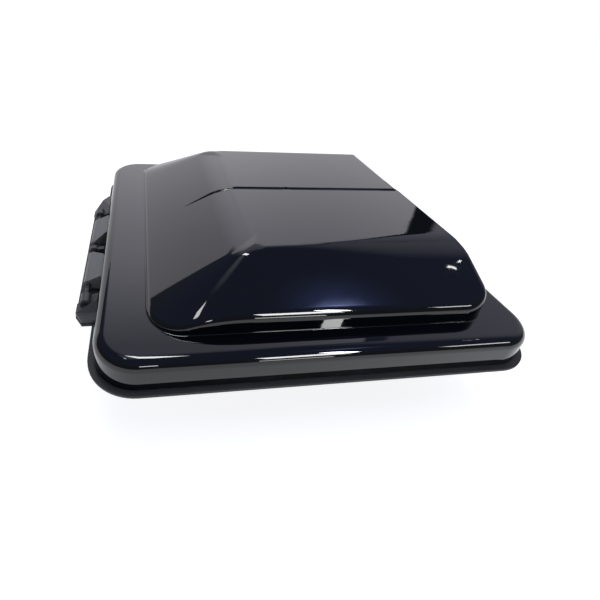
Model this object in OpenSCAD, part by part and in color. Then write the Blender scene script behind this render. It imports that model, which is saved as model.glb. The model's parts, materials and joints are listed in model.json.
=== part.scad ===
// Hinged-lid roof vent with a powered fan. Millimetres, +Z up.
// The roof plane is z = 0, the hinge runs along Y on the -X side, and the lid is closed.

/* [Lid] */
// Overhang of the lid's skirt beyond the neck
lid_over = 39; // [36:0.5:42]
// Plan radius of the skirt corners
lid_corner_r = 40; // [36:1:50]
// Height of the brim's top face above the roof
brim_z = 33.5; // [33:0.5:38]
// Gap between the flange and the lower edge of the skirt
skirt_gap = 2; // [1.5:0.5:4]
// Rounding along the top edge of the skirt
skirt_edge_r = 11; // [8:0.5:12]
// Wall thickness of the lid moulding
lid_t = 2.6; // [2:0.1:3]

/* [Dome] */
// Brim width on the hinge side
brim_hinge = 45.5; // [43:0.5:48]
// Brim width on the near and far sides
brim_side = 29; // [27:0.5:30]
// Brim width away from the hinge
brim_end = 35; // [30:0.5:38]
// Plan radius of the dome corners
dome_corner_r = 38; // [30:1:42]
// Upright wall of the dome, brim to shoulder
wall_h = 14; // [11:0.5:17]
// Step where the hinge-side slope leaves the brim
slope_step = 2; // [1:0.5:4]
// Height of the near half of the crown above the brim
crown_h = 55; // [50:0.5:62]
// Extra height of the far half of the crown
crown_step = 2.8; // [1:0.2:4]
// Run of the hinge-side slope
slope_run = 95.5; // [91:0.5:100]
// Run of the far half's slope away from the hinge
end_run = 23; // [20:0.5:28]
// Run of the near half's slope away from the hinge
end_run_near = 18; // [15:0.5:22]
// Run of the near and far slopes
side_run = 60; // [56:0.5:62]
// Rounding of the ridge and the crown's edges
crown_r = 14; // [10:1:18]
// Rounding of the shoulder
shoulder_r = 5; // [3:0.5:7]
// Fullness of the near hips, 2 for a round cone and more for a squarer one
hip_near = 3; // [2:0.1:5]
// Fullness of the far hips
hip_far = 6; // [3:0.5:8]

/* [Base] */
// Thickness of the roof flange
flange_t = 2.5; // [2:0.5:3]
// Width of the flange showing beyond the skirt
flange_lip = 6; // [5:0.5:8]
// Outside width of the neck, for a 356 mm roof opening
neck_size = 352; // [342:1:358]
// Depth of the neck below the roof
neck_depth = 45; // [42:1:60]
// Wall thickness of the neck
neck_t = 3; // [2:0.5:4]
// Plan radius of the neck's outside corners
neck_r = 24; // [18:1:30]
// Distance from the skirt's outside to the curb's outside
curb_inset = 15; // [14:0.5:17]
// Wall thickness of the curb
curb_t = 4; // [3:0.5:5]
// Clearance between the seal and the underside of the brim
seal_gap = 0.2; // [0.1:0.1:0.5]
// Height of the seal above the curb
seal_h = 6; // [4:0.5:8]
// Radius of the holes for the roof screws
roof_hole_r = 2.4; // [2:0.1:3]
// Distance of the roof screws from the lid skirt's outside
roof_hole_inset = 7.5; // [7:0.5:8]
// Inner pitch of the roof screws
roof_pitch_a = 100; // [80:5:120]
// Outer pitch of the roof screws
roof_pitch_b = 300; // [280:5:310]

/* [Hinge] */
// Distance of the hinge axis from the skirt
hinge_out = 14; // [12:0.5:16]
// Height of the hinge axis above the roof
hinge_z = 11; // [10.5:0.5:13]
// Radius of the hinge rod
rod_r = 2.5; // [2:0.25:3]
// Outside radius of the lug barrels
barrel_r = 5.5; // [5:0.5:6]
// Running clearance of the lugs on the rod
rod_play = 0.05; // [0.02:0.01:0.1]
// Middle of the hinge along the rod
hinge_mid = -16; // [-22:1:0]
// Distance of each lug's inner end from the hinge's middle
lug_y = 11.5; // [9:0.5:14]
// Slant of each lug's inner end, between the rod and the skirt
lug_skew = 14; // [8:1:18]
// Length of each lug along the rod
lug_w = 55; // [48:1:60]
// Distance of each bracket's inner end from the hinge's middle
bracket_y = 85; // [80:1:90]
// Length of the near bracket along the rod
near_w = 32; // [28:1:40]
// Length of the far bracket along the rod
far_w = 70; // [60:1:76]
// Length of the part of a bracket that holds the rod
ear_w = 13; // [9:1:16]
// Thickness of the middle rib
rib_w = 6; // [5:0.5:8]
// Projection of the flange tab beyond the hinge axis
tab_out = 9; // [8:0.5:12]

/* [Lift] */
// Distance of the lift shaft from the neck's inside
lift_in = 23.7; // [22:0.1:26]
// Rise of the line from the hinge to the lift shaft, in degrees
arm_rise = 5; // [4.5:0.5:5.5]
// Radius of the lift shaft
lift_r = 4; // [3:0.25:4.5]
// Running clearance of the shafts in their frames
shaft_play = 0.05; // [0.02:0.01:0.1]
// Width of the lift arms
arm_w = 12; // [10:0.5:14]
// Thickness of the lift arms
arm_t = 4; // [3:0.5:5]
// Radius of the rollers
roller_r = 3.9; // [3:0.1:4.2]
// Clearance of the rollers in their slots
roller_play = 0.3; // [0.2:0.05:0.5]
// Thickness of the slotted track plates
track_t = 3; // [2:0.5:4]
// Material beside the slots
track_wall = 4; // [3:0.5:5]
// Side gap between arm, plate and frame
side_gap = 1; // [0.8:0.1:1.5]
// Largest opening of the lid, in degrees
lid_open = 60; // [50:1:65]
// Distance of the worm gear from the neck's inside
gear_in = 69; // [66:0.5:72]
// Number of grooves in the worm wheel
wheel_n = 16; // [14:1:17]
// Pitch of the worm thread
worm_pitch = 4.712; // [4.4:0.05:5]
// Mean radius of the worm
worm_r = 6; // [5:0.25:6.5]
// Half depth of the worm thread
worm_depth = 1.2; // [0.8:0.1:1.4]
// Face width of the worm wheel
wheel_w = 6; // [5:0.5:8]
// Radius of the crank shaft
crank_r = 3; // [2.5:0.25:3.5]
// Thickness of the frames' cheeks
cheek_t = 2.5; // [2:0.5:3]

/* [Fan] */
// Distance of the fan tips from the neck's inside
fan_in = 28; // [26:0.5:32]
// Gap between the fan tips and the shroud
tip_gap = 4; // [3:0.5:6]
// Wall thickness of the shroud
shroud_t = 3.5; // [2.5:0.5:4]
// Number of blades
blade_n = 6; // [4:1:8]
// Radius of the fan hub
hub_r = 32; // [26:1:36]
// Height of the fan hub
hub_h = 24; // [20:1:26]
// Blade chord at the hub
chord_root = 40; // [34:1:44]
// Blade chord at the tip
chord_tip = 68; // [50:1:72]
// Blade pitch at the hub, in degrees
pitch_root = 34; // [28:1:38]
// Blade pitch at the tip, in degrees
pitch_tip = 18; // [14:1:22]
// Thickness of the blades
blade_t = 2; // [1.6:0.2:2.6]
// Height of the camber arc over the chord
camber = 5; // [2:0.5:7]

/* [Motor] */
// Radius of the motor can
motor_r = 30; // [26:1:32]
// Height of the motor can
motor_h = 44; // [36:1:46]
// Height of the motor's end cap
endcap_h = 6; // [4:0.5:8]
// Radius of the motor shaft
motor_shaft_r = 3; // [2.5:0.25:3.5]
// Clearance of the motor shaft in the can
motor_play = 0.3; // [0.25:0.05:0.5]
// Width of the motor bracket's arms
spider_w = 16; // [12:1:18]
// Thickness of the motor bracket
spider_t = 4; // [3:0.5:5]
// Height of the motor bracket above the shroud's deck
spider_z = 5; // [4:0.5:7]

/* [Screen and controls] */
// Thickness of the screen's frame
screen_t = 3; // [2:0.5:4]
// Spacing of the bars of the screen
mesh_pitch = 20; // [18:1:28]
// Width of the bars of the screen
mesh_bar = 1.4; // [1:0.1:2]
// Thickness of the screen
mesh_t = 0.8; // [0.6:0.1:1]
// Distance of the controls from the neck's inside, both ways
control_in = 43; // [40:0.5:46]
// Distance of the screw posts from the neck's corners, along the walls
post_in = 55; // [50:1:60]
// Radius of the crank knob
knob_r = 24; // [20:1:26]
// Height of the crank knob
knob_h = 20; // [16:1:24]
// Radius of the speed knob
speed_r = 15; // [12:1:17]
// Height of the speed knob
speed_h = 14; // [11:1:16]
// Swing of the rocker to each side, in degrees
rocker_swing = 9; // [6:1:12]

/* [Fasteners] */
// Shank radius of the small screws
screw_r = 1.5; // [1.25:0.05:1.75]
// Head radius of the small screws
head_r = 3.2; // [2.8:0.1:3.6]
// Head height of the small screws
head_h = 2.2; // [1.8:0.1:2.6]
// Clearance of a screw in its hole
screw_play = 0.1; // [0.05:0.05:0.3]

/* [Hidden] */
$fn = 48;
eps = 0.01;
neck_h = neck_size/2;
neck_in = neck_h - neck_t;
neck_in_r = neck_r - neck_t;
half = neck_h + lid_over;
corner_c = half - lid_corner_r;
skirt_z = flange_t + skirt_gap;
brim_under = brim_z - lid_t;
curb_h = half - curb_inset;
curb_z = brim_under - seal_gap - seal_h;
flange_h = half + flange_lip;
hinge_x = -half - hinge_out;
tab_x = hinge_x - tab_out;
bracket_x = -half - 2;
roof_hole = half - roof_hole_inset;
// dome
dome_l = -half + brim_hinge;
dome_s = half - brim_side;
dome_e = half - brim_end;
ridge_x = -dome_l - slope_run;
crown_y = dome_s - side_run;
ceiling_z = brim_z + crown_h - lid_t;
hip_n = 8;
hip_free = 0.15;
// lift gear
lift_x = lift_in - neck_in;
arm_len = (lift_x - hinge_x)/cos(arm_rise);
lift_z = hinge_z + arm_len*sin(arm_rise);
gear_y = neck_in - gear_in;
wheel_pr = wheel_n*worm_pitch/(2*PI);
wheel_tip = wheel_pr + 1;
groove_r = 1.7;
groove_c = wheel_pr + 1.3;
gear_a = groove_c - groove_r + 0.4 + worm_r + worm_depth;
crank_x = lift_x + gear_a;
worm_turns = 4;
worm_h = worm_turns*worm_pitch;
cheek_in = worm_r + worm_depth + 1.3;
frame_out = gear_y + cheek_in + cheek_t;
frame_in = gear_y - cheek_in - cheek_t;
arm_y = frame_out + 1.5*side_gap;
track_y = arm_y + arm_t + side_gap;
slot_r = roller_r + roller_play;
slot_a = 2*arm_len*cos(lid_open);
slot_b = 2*arm_len;
track_foot_z = ceiling_z - 7;
track_foot_x = [-ridge_x + 1, -ridge_x + 39];
track_screw_x = [-ridge_x + 10, -ridge_x + 30];
track_screw_y = track_y - 8;
frame_x0 = lift_x - 19;
frame_x1 = crank_x + 8;
// fan levels
deck_z = -3;
deck_t = 3;
post_x = neck_in - post_in;
post_y = neck_in - 6;
post_r = 7;
control_xy = neck_in - control_in;
fan_r = neck_in - fan_in;
shroud_in = fan_r + tip_gap;
shroud_out = shroud_in + shroud_t;
screen_z = -neck_depth - 1;
screen_top = screen_z + screen_t;
shroud_z = screen_top + 4;
hub_z = deck_z - 8 - hub_h;
blade_z = hub_z + hub_h/2;
spider_top = deck_z + spider_z + spider_t;
foot_r = (shroud_out + neck_in)/2 - 1;
motor_bolt_r = 21;
mesh_r = shroud_in - 2;
screen_hole_r = mesh_r - 4;
knob_z = screen_z - 4 - knob_h;
speed_z = screen_z - 3 - speed_h;

// shared shapes
// square of half width h with corner radius r
module rounded(h, r) {
  square([2*h, 2*(h - r)], center = true);
  square([2*(h - r), 2*h], center = true);
  for (x = [-1, 1], y = [-1, 1]) translate([x*(h - r), y*(h - r)]) circle(r);
}

// carries a profile (x outwards, y up) round a square whose corners are centred at +-c
module carry(c) {
  for (q = [0:3]) rotate([0, 0, 90*q]) translate([c, c, 0]) {
    rotate_extrude(angle = 90) children();
    rotate([90, 0, 0]) linear_extrude(2*c) children();
  }
}

// extrudes an x-z profile along Y from y0
module along_y(y0, w) {
  translate([0, y0 + w, 0]) rotate([90, 0, 0]) linear_extrude(w) children();
}

// extrudes a y-z profile along X from x0
module along_x(x0, w) {
  translate([x0, 0, 0]) rotate([90, 0, 90]) linear_extrude(w) children();
}

// round bar along Y
module bar_y(x, z, y0, w, r) {
  translate([x, y0 + w, z]) rotate([90, 0, 0]) cylinder(r = r, h = w);
}

// pan-head screw standing on z = 0, shank down
module pan_screw(len) {
  difference() {
    union() {
      cylinder(r1 = head_r, r2 = head_r*0.8, h = head_h);
      translate([0, 0, -len]) cylinder(r = screw_r, h = len + eps);
    }
    for (a = [0, 90]) rotate([0, 0, a]) translate([0, 0, head_h])
      cube([head_r*1.2, 0.7, 1.6], center = true);
  }
}

// point on the line from the hinge through the lift shaft, r along it and o above it
function on_line(r, o) = [hinge_x + r*cos(arm_rise) - o*sin(arm_rise),
  hinge_z + r*sin(arm_rise) + o*cos(arm_rise)];

// round-ended slot along that line
module line_slot(ra, rb, w) {
  translate(on_line(ra, 0)) circle(w);
  translate(on_line(rb, 0)) circle(w);
  translate(on_line(ra, 0)) rotate(arm_rise) translate([0, eps - w]) square([rb - ra, 2*(w - eps)]);
}

module on_posts(z) {
  for (x = [-1, 1], y = [-1, 1]) translate([x*post_x, y*post_y, z]) children();
}

// convex outline with its corners moved in by t and rounded to the given radii less t
arc_n = 5;
function unit(v) = v/norm(v);
function corner(a, b, c, r, t) = let(
    u = unit(a - b),
    v = unit(c - b),
    h = acos(u*v)/2,
    w = unit(u + v),
    q = max(r - t, 0),
    p = b + w*t/sin(h),
    m = p + w*q/sin(h),
    f = atan2(-w[1], -w[0]))
  q <= 0 ? [p] : [for (k = [0:arc_n]) let(g = f + (2*k/arc_n - 1)*(90 - h)) m + q*[cos(g), sin(g)]];
function softened(p, r, t) = let(n = len(p))
  [for (i = [0:n - 1]) each corner(p[(i + n - 1)%n], p[i], p[(i + 1)%n], r[i], t)];

// base
module roof_holes() {
  for (p = [roof_pitch_a, roof_pitch_b], a = [-1, 1], b = [-1, 1]) {
    translate([a*roof_hole, b*p/2]) circle(roof_hole_r);
    translate([b*p/2, a*roof_hole]) circle(roof_hole_r);
  }
}

// plan of a hinge bracket, grown by g at its free end, narrowing by cut over its last stretch
module bracket_plan(w, taper, cut, g) {
  e = bracket_y + w + g;
  polygon([[bracket_x, bracket_y], [bracket_x, e], [tab_x + cut, e], [tab_x, e - taper],
    [tab_x, bracket_y + 7], [tab_x + 5, bracket_y]]);
}

near_taper = 12;
near_cut = 7;
near_shelf = 11;
far_taper = far_w - 20;
far_cut = 16;
far_shelf = 1;
tab_screw_h = 7;
bracket_screw_at = [for (p = [[-1, 5], [-1, 15], [1, 8], [1, 34]])
  [hinge_x + 4.6, hinge_mid + p[0]*(bracket_y + p[1])]];
rib_screw_at = [hinge_x + 8, hinge_mid];

// flange tab under the hinge
module hinge_tab() translate([0, hinge_mid]) {
  bracket_plan(far_w, far_taper, far_cut, 1);
  mirror([0, 1]) bracket_plan(near_w, near_taper, near_cut, 1);
  translate([tab_x, -bracket_y - 10]) square([bracket_x - tab_x + 1, 2*bracket_y + 20]);
  translate([bracket_x - 1, -bracket_y - near_w]) square([40, 2*bracket_y + near_w + far_w]);
}

module base_frame() color([0.06, 0.06, 0.065]) difference() {
  union() {
    linear_extrude(flange_t) difference() {
      union() {
        rounded(flange_h, flange_h - corner_c);
        hinge_tab();
      }
      rounded(neck_in, neck_in_r);
      roof_holes();
    }
    translate([0, 0, flange_t - eps]) linear_extrude(curb_z - flange_t + eps) difference() {
      rounded(curb_h, curb_h - corner_c);
      rounded(curb_h - curb_t, curb_h - curb_t - corner_c);
    }
    translate([0, 0, -neck_depth]) linear_extrude(neck_depth + eps) difference() {
      rounded(neck_h, neck_r);
      rounded(neck_in, neck_in_r);
    }
    on_posts(screen_top) cylinder(r = post_r, h = deck_z - deck_t - screen_top);
  }
  on_posts(screen_top - 1) cylinder(r = screw_r + screw_play, h = deck_z - screen_top + 2);
  for (p = concat(bracket_screw_at, [rib_screw_at])) translate([p[0], p[1], 0]) {
    translate([0, 0, -eps]) cylinder(r1 = head_r, r2 = screw_r + screw_play, h = 2);
    cylinder(r = screw_r + screw_play, h = flange_t + 1);
  }
}

module curb_seal() color([0.03, 0.03, 0.03]) carry(corner_c) difference() {
  translate([curb_h - curb_t - 2 - corner_c, curb_z - 4]) square([curb_t + 4, seal_h + 4]);
  translate([curb_h - curb_t - corner_c, curb_z - 5]) square([curb_t, 5]);
  translate([curb_h - curb_t/2 - corner_c, curb_z + seal_h/2 + 0.4]) circle(seal_h*0.3);
}

// hinge
// one bracket, running up +Y from the hinge's middle: an ear on the rod and a wedge behind it
module bracket(w, taper, cut, shelf) {
  e = bracket_y + w;
  low = flange_t + 4;
  along_y(bracket_y, ear_w) {
    translate([hinge_x, hinge_z]) circle(barrel_r);
    polygon([[hinge_x - barrel_r + 0.6, flange_t], [bracket_x - 0.5, flange_t], [bracket_x - 0.5, hinge_z],
      [hinge_x - barrel_r + 0.6, hinge_z]]);
  }
  intersection() {
    along_x(tab_x, bracket_x - tab_x)
      polygon([[bracket_y, flange_t], [e, flange_t], [e, low], [e - shelf, low], [bracket_y + 6, hinge_z + 8],
        [bracket_y, hinge_z + 8]]);
    translate([0, 0, flange_t]) linear_extrude(hinge_z + 10) bracket_plan(w, taper, cut, 0);
    along_y(bracket_y, w)
      polygon([[tab_x, flange_t], [bracket_x, flange_t], [bracket_x, hinge_z + 4.4], [tab_x, low]]);
  }
}

module hinge_brackets() color([0.1, 0.1, 0.11]) difference() {
  translate([0, hinge_mid, 0]) {
    bracket(far_w, far_taper, far_cut, far_shelf);
    mirror([0, 1, 0]) bracket(near_w, near_taper, near_cut, near_shelf);
  }
  bar_y(hinge_x, hinge_z, hinge_mid - bracket_y - ear_w, 2*(bracket_y + ear_w), rod_r + rod_play);
  for (p = bracket_screw_at) translate([p[0], p[1], 0])
    cylinder(r = screw_r + screw_play, h = tab_screw_h + 0.5);
}

module hinge_rib() color([0.1, 0.1, 0.11]) difference() {
  along_y(hinge_mid - rib_w/2, rib_w) difference() {
    union() {
      polygon([[tab_x + 1, flange_t], [bracket_x, flange_t], [bracket_x, hinge_z + 4.4],
        [hinge_x + 3, hinge_z + 3], [tab_x + 1, flange_t + 3]]);
      translate([hinge_x, hinge_z]) circle(barrel_r);
    }
    translate([hinge_x, hinge_z]) circle(rod_r + rod_play);
  }
  translate([rib_screw_at[0], rib_screw_at[1], 0]) cylinder(r = screw_r + screw_play, h = tab_screw_h + 0.5);
}

module bracket_screws() color([0.5, 0.5, 0.52]) for (p = concat(bracket_screw_at, [rib_screw_at]))
  translate([p[0], p[1], 0]) difference() {
    union() {
      cylinder(r1 = head_r - screw_play, r2 = screw_r, h = 2);
      cylinder(r = screw_r, h = tab_screw_h);
    }
    for (a = [0, 90]) rotate([0, 0, a]) cube([head_r, 0.7, 1.4], center = true);
  }

module hinge_rod() color([0.6, 0.6, 0.62])
  bar_y(hinge_x, hinge_z, hinge_mid - bracket_y - ear_w + 0.5, 2*(bracket_y + ear_w - 0.5), rod_r);

// one lug, running up +Y from the hinge's middle
module lug() difference() {
  intersection() {
    along_y(lug_y, lug_w) difference() {
      union() {
        polygon([[-half, skirt_z + 1], [-half, brim_z - skirt_edge_r], [-half - 1.5, brim_z - skirt_edge_r],
          [hinge_x - 0.7*barrel_r, hinge_z + 0.7*barrel_r], [hinge_x, hinge_z - barrel_r + 0.3],
          [-half - 4, skirt_z + 1]]);
        translate([hinge_x, hinge_z]) circle(barrel_r);
      }
      translate([hinge_x, hinge_z]) circle(rod_r + rod_play);
    }
    linear_extrude(brim_z) polygon([[tab_x, lug_y], [hinge_x, lug_y], [-half, lug_y + lug_skew],
      [-half + 1, lug_y + lug_skew], [-half + 1, lug_y + lug_w + 1], [tab_x, lug_y + lug_w + 1]]);
  }
  for (y = lug_screw_y) translate([-half - 6, y, lug_screw_z]) rotate([0, 90, 0])
    cylinder(r = screw_r + screw_play, h = 8);
}

module hinge_lugs() color([0.12, 0.12, 0.13]) translate([0, hinge_mid, 0]) {
  lug();
  mirror([0, 1, 0]) lug();
}

lug_screw_y = [lug_y + lug_skew + 8, lug_y + lug_w - 8];
lug_screw_z = hinge_z + 2;

module lug_screws() color([0.5, 0.5, 0.52]) for (s = [-1, 1], y = lug_screw_y)
  translate([-half + lid_t, hinge_mid + s*y, lug_screw_z]) rotate([0, 90, 0]) pan_screw(lid_t + 5.5);

// lid
// one half of the dome, shrunk by t all round: where its side profile, end profile and footprint meet
module dome_half(side, rise, t) {
  low = brim_under - 8*sign(t);
  top = brim_z + rise;
  shoulder = brim_z + wall_h;
  cut = side*sign(t)*lid_t;
  end_x = dome_e - (side < 0 ? end_run_near : end_run);
  radii = [0, 0, shoulder_r, crown_r, crown_r, 0];
  long = [[dome_l, low], [dome_e, low], [dome_e, shoulder], [end_x, top], [-ridge_x, top],
    [dome_l, brim_z + slope_step]];
  cross = [[-dome_s, low], [dome_s, low], [dome_s, shoulder], [crown_y, top], [-crown_y, top],
    [-dome_s, shoulder]];
  intersection() {
    along_y(side < 0 ? -half : max(cut, 0), half + (side < 0 ? -cut : 0)) polygon(softened(long, radii, t));
    along_x(-half, 2*half) polygon(softened(cross, [0, 0, shoulder_r, crown_r, crown_r, shoulder_r], t));
    translate([0, 0, low]) linear_extrude(crown_h + 30) footprint(t);
    hip_loft(top, low, end_x, side < 0 ? hip_near : hip_far, t);
  }
}

// quarter outline of a hip with reaches a and b and fullness n
function hip_arc(a, b, n) = [for (i = [0:hip_n])
  [a*pow(cos(90*i/hip_n), 2/n), b*pow(sin(90*i/hip_n), 2/n)]];

// slopes from the crown down to low, shrunk by t, whose hips open into cones from the crown's corners
module hip_loft(top, low, end_x, full, t) {
  fall = top - t - low - 1;
  steep = [atan((top - brim_z - slope_step)/slope_run), atan((top - brim_z - wall_h)/(dome_e - end_x)),
    atan((top - brim_z - wall_h)/side_run)];
  inset = [for (a = steep) t*tan(a/2) - hip_free];
  reach = [for (a = steep) fall/tan(a)];
  x0 = -ridge_x + inset[0];
  x1 = end_x - inset[1];
  y0 = crown_y - inset[2];
  left = hip_arc(reach[0], reach[2], full);
  right = hip_arc(reach[1], reach[2], full);
  hull() {
    translate([0, 0, top - t]) linear_extrude(1) translate([x0, -y0]) square([x1 - x0, 2*y0]);
    translate([0, 0, low]) linear_extrude(1) for (m = [0, 1]) mirror([0, m])
      polygon(concat([[x0 - reach[0], 0], [x1 + reach[1], 0]], [for (c = right) [x1 + c[0], y0 + c[1]]],
        [for (i = [hip_n:-1:0]) [x0 - left[i][0], y0 + left[i][1]]]));
  }
}

// plan of the dome, shrunk by t
module footprint(t) {
  r = dome_corner_r - t;
  mid = (dome_l + dome_e)/2;
  long = (dome_e - dome_l)/2 - t;
  wide = dome_s - t;
  translate([mid, 0]) {
    square([2*long, 2*(wide - r)], center = true);
    square([2*(long - r), 2*wide], center = true);
    for (x = [-1, 1], y = [-1, 1]) translate([x*(long - r), y*(wide - r)]) circle(r);
  }
}

module lid_rim() carry(corner_c) {
  flat = lid_corner_r - skirt_edge_r;
  translate([lid_corner_r - lid_t, skirt_z]) square([lid_t, brim_z - skirt_edge_r - skirt_z]);
  translate([curb_h - corner_c, brim_under]) square([flat - curb_h + corner_c, lid_t]);
  translate([flat, brim_z - skirt_edge_r]) intersection() {
    difference() {
      circle(skirt_edge_r);
      circle(skirt_edge_r - lid_t);
    }
    square(skirt_edge_r + 1);
  }
}

module lid_shell() color([0.015, 0.015, 0.025]) difference() {
  union() {
    difference() {
      union() {
        lid_rim();
        translate([0, 0, brim_under]) linear_extrude(lid_t) rounded(curb_h + 1, curb_h + 1 - corner_c);
        dome_half(-1, crown_h, 0);
        dome_half(1, crown_h + crown_step, 0);
      }
      dome_half(-1, crown_h, lid_t);
      dome_half(1, crown_h + crown_step, lid_t);
    }
    for (s = [-1, 1], x = track_screw_x) translate([x, s*track_screw_y, track_foot_z])
      cylinder(r = 5, h = ceiling_z - track_foot_z + 1.5 + (s > 0 ? crown_step : 0));
  }
  for (s = [-1, 1], x = track_screw_x) translate([x, s*track_screw_y, track_foot_z - 1])
    cylinder(r = screw_r + screw_play, h = 7.2);
  for (s = [-1, 1], y = lug_screw_y) translate([-half - 1, hinge_mid + s*y, lug_screw_z]) rotate([0, 90, 0])
    cylinder(r = screw_r + screw_play, h = lid_t + 2);
}

module lift_tracks() color([0.5, 0.51, 0.53]) for (s = [0, 1]) mirror([0, s, 0]) difference() {
  union() {
    along_y(track_y, track_t) difference() {
      polygon([on_line(slot_a - slot_r - track_wall, -slot_r - track_wall),
        on_line(slot_b + slot_r + track_wall, -slot_r - track_wall),
        on_line(slot_b + slot_r + track_wall, slot_r + track_wall),
        [track_foot_x[1], track_foot_z - 12],
        [track_foot_x[1], track_foot_z - track_t/2],
        [track_foot_x[0], track_foot_z - track_t/2],
        on_line((slot_a + slot_b)/2, slot_r + track_wall),
        on_line(slot_a - slot_r - track_wall, slot_r + track_wall)]);
      line_slot(slot_a, slot_b, slot_r);
    }
    translate([track_foot_x[0] - 1, track_y - 14, track_foot_z - track_t])
      cube([track_foot_x[1] - track_foot_x[0] + 2, 14 + track_t/2, track_t]);
  }
  for (x = track_screw_x) translate([x, track_screw_y, track_foot_z - 10])
    cylinder(r = screw_r + screw_play, h = 20);
}

module track_screws() color([0.5, 0.5, 0.52]) for (s = [-1, 1], x = track_screw_x)
  translate([x, s*track_screw_y, track_foot_z - track_t]) rotate([180, 0, 0]) pan_screw(track_t + 5.5);

// lift gear
module lift_shaft() color([0.6, 0.6, 0.62])
  bar_y(lift_x, lift_z, -arm_y - arm_t, 2*(arm_y + arm_t), lift_r);

module lift_arms() color([0.45, 0.46, 0.48]) for (s = [0, 1]) mirror([0, s, 0])
  along_y(arm_y, arm_t) difference() {
    union() {
      line_slot(arm_len, 2*arm_len, arm_w/2);
      translate([lift_x, lift_z]) circle(arm_w/2 + 3);
    }
    translate([lift_x, lift_z]) circle(lift_r + shaft_play);
    translate(on_line(2*arm_len, 0)) circle(2 + shaft_play);
  }

module arm_rollers() color([0.85, 0.85, 0.82]) for (s = [0, 1]) mirror([0, s, 0]) {
  p = on_line(2*arm_len, 0);
  bar_y(p[0], p[1], arm_y, arm_t + eps, 2);
  bar_y(p[0], p[1], arm_y + arm_t, track_t + 2*side_gap, roller_r);
  bar_y(p[0], p[1], track_y + track_t + side_gap - eps, 1.5, roller_r + 2);
}

module worm_wheel() color([0.75, 0.6, 0.3]) along_y(-gear_y - wheel_w/2, wheel_w) difference() {
  translate([lift_x, lift_z]) circle(wheel_tip);
  translate([lift_x, lift_z]) circle(lift_r + shaft_play);
  for (k = [0:wheel_n - 1]) translate([lift_x, lift_z]) rotate(360*k/wheel_n) translate([groove_c, 0])
    circle(groove_r, $fn = 24);
}

module worm_shaft() color([0.6, 0.6, 0.62]) translate([crank_x, -gear_y, 0]) {
  translate([0, 0, knob_z + 4]) cylinder(r = crank_r, h = lift_z + worm_h/2 + 8 - knob_z - 4);
  translate([0, 0, lift_z - worm_h/2]) rotate([0, 0, 180 - 180*worm_turns])
    linear_extrude(worm_h, twist = -360*worm_turns, slices = 8*worm_turns, segments = 12)
      translate([worm_depth, 0]) circle(worm_r, $fn = 12);
}

module crank_knob() color([0.05, 0.05, 0.055]) translate([crank_x, -gear_y, knob_z]) difference() {
  union() {
    cylinder(r1 = knob_r - 2, r2 = knob_r, h = 3);
    translate([0, 0, 3]) cylinder(r = knob_r, h = knob_h - 8);
    translate([0, 0, knob_h - 5]) cylinder(r1 = knob_r, r2 = 10, h = 5);
  }
  for (k = [0:5]) rotate([0, 0, 60*k]) translate([knob_r + 5, 0, -1]) cylinder(r = 9, h = knob_h + 2);
  translate([0, 0, 4]) cylinder(r = crank_r + shaft_play, h = knob_h);
  translate([0, 0, -1]) cylinder(r = head_r + 0.6, h = 4);
  translate([0, 0, -1]) cylinder(r = screw_r + screw_play, h = 7);
}

module knob_screw() color([0.5, 0.5, 0.52])
  translate([crank_x, -gear_y, knob_z + 3]) rotate([180, 0, 0]) pan_screw(1);

// cheek of a frame, in the x-z plane
module cheek() {
  difference() {
    polygon([[frame_x0, deck_z], [frame_x1, deck_z], [frame_x1, lift_z + worm_h/2 + 7],
      [crank_x - 7, lift_z + worm_h/2 + 7], [lift_x - 8, lift_z + 9], [frame_x0 + 4, lift_z]]);
    translate([lift_x, lift_z]) circle(lift_r + shaft_play);
  }
}

frame_screw_x = [frame_x0 + 5, crank_x - 12];

module gear_frame() difference() {
  union() {
    for (y = [frame_in, frame_out - cheek_t]) along_y(y, cheek_t) cheek();
    translate([frame_x0, frame_in, deck_z]) cube([frame_x1 - frame_x0, frame_out - frame_in, 3]);
    translate([crank_x - 7, frame_in, lift_z + worm_h/2 + 4])
      cube([frame_x1 - crank_x + 7, frame_out - frame_in, 3]);
  }
  for (x = frame_screw_x) translate([x, gear_y, deck_z - 1]) cylinder(r = screw_r + screw_play, h = 6);
  translate([crank_x, gear_y, deck_z - 1]) cylinder(r = crank_r + shaft_play, h = lift_z + worm_h + 12);
}

module operator_frame() color([0.35, 0.36, 0.38]) mirror([0, 1, 0]) gear_frame();

module bearing_frame() color([0.35, 0.36, 0.38]) gear_frame();

module frame_screws() color([0.5, 0.5, 0.52]) for (s = [-1, 1], x = frame_screw_x)
  translate([x, s*gear_y, deck_z + 3]) pan_screw(8);

// fan
module fan_shroud() color([0.08, 0.08, 0.085]) difference() {
  union() {
    translate([0, 0, deck_z - deck_t]) linear_extrude(deck_t) difference() {
      rounded(neck_in - 0.4, neck_in_r - 0.4);
      circle(shroud_in, $fn = 120);
    }
    rotate_extrude($fn = 120) {
      translate([shroud_in, shroud_z]) square([shroud_t, deck_z - shroud_z]);
      translate([shroud_in + 5, shroud_z + 5]) intersection() {
        difference() {
          circle(5);
          circle(5 - 2.5);
        }
        translate([-6, -6]) square([6, 6]);
      }
    }
  }
  on_posts(deck_z - 5) cylinder(r = screw_r + screw_play, h = 8);
  for (s = [-1, 1], x = frame_screw_x) translate([x, s*gear_y, deck_z - 5])
    cylinder(r = screw_r + screw_play, h = 8);
  for (a = [0:90:270]) rotate([0, 0, a]) translate([foot_r, 0, deck_z - 5])
    cylinder(r = screw_r + screw_play, h = 8);
  translate([crank_x, -gear_y, deck_z - 5]) cylinder(r = crank_r + 1, h = 8);
}

module shroud_screws() color([0.5, 0.5, 0.52]) on_posts(deck_z) pan_screw(12);

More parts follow.
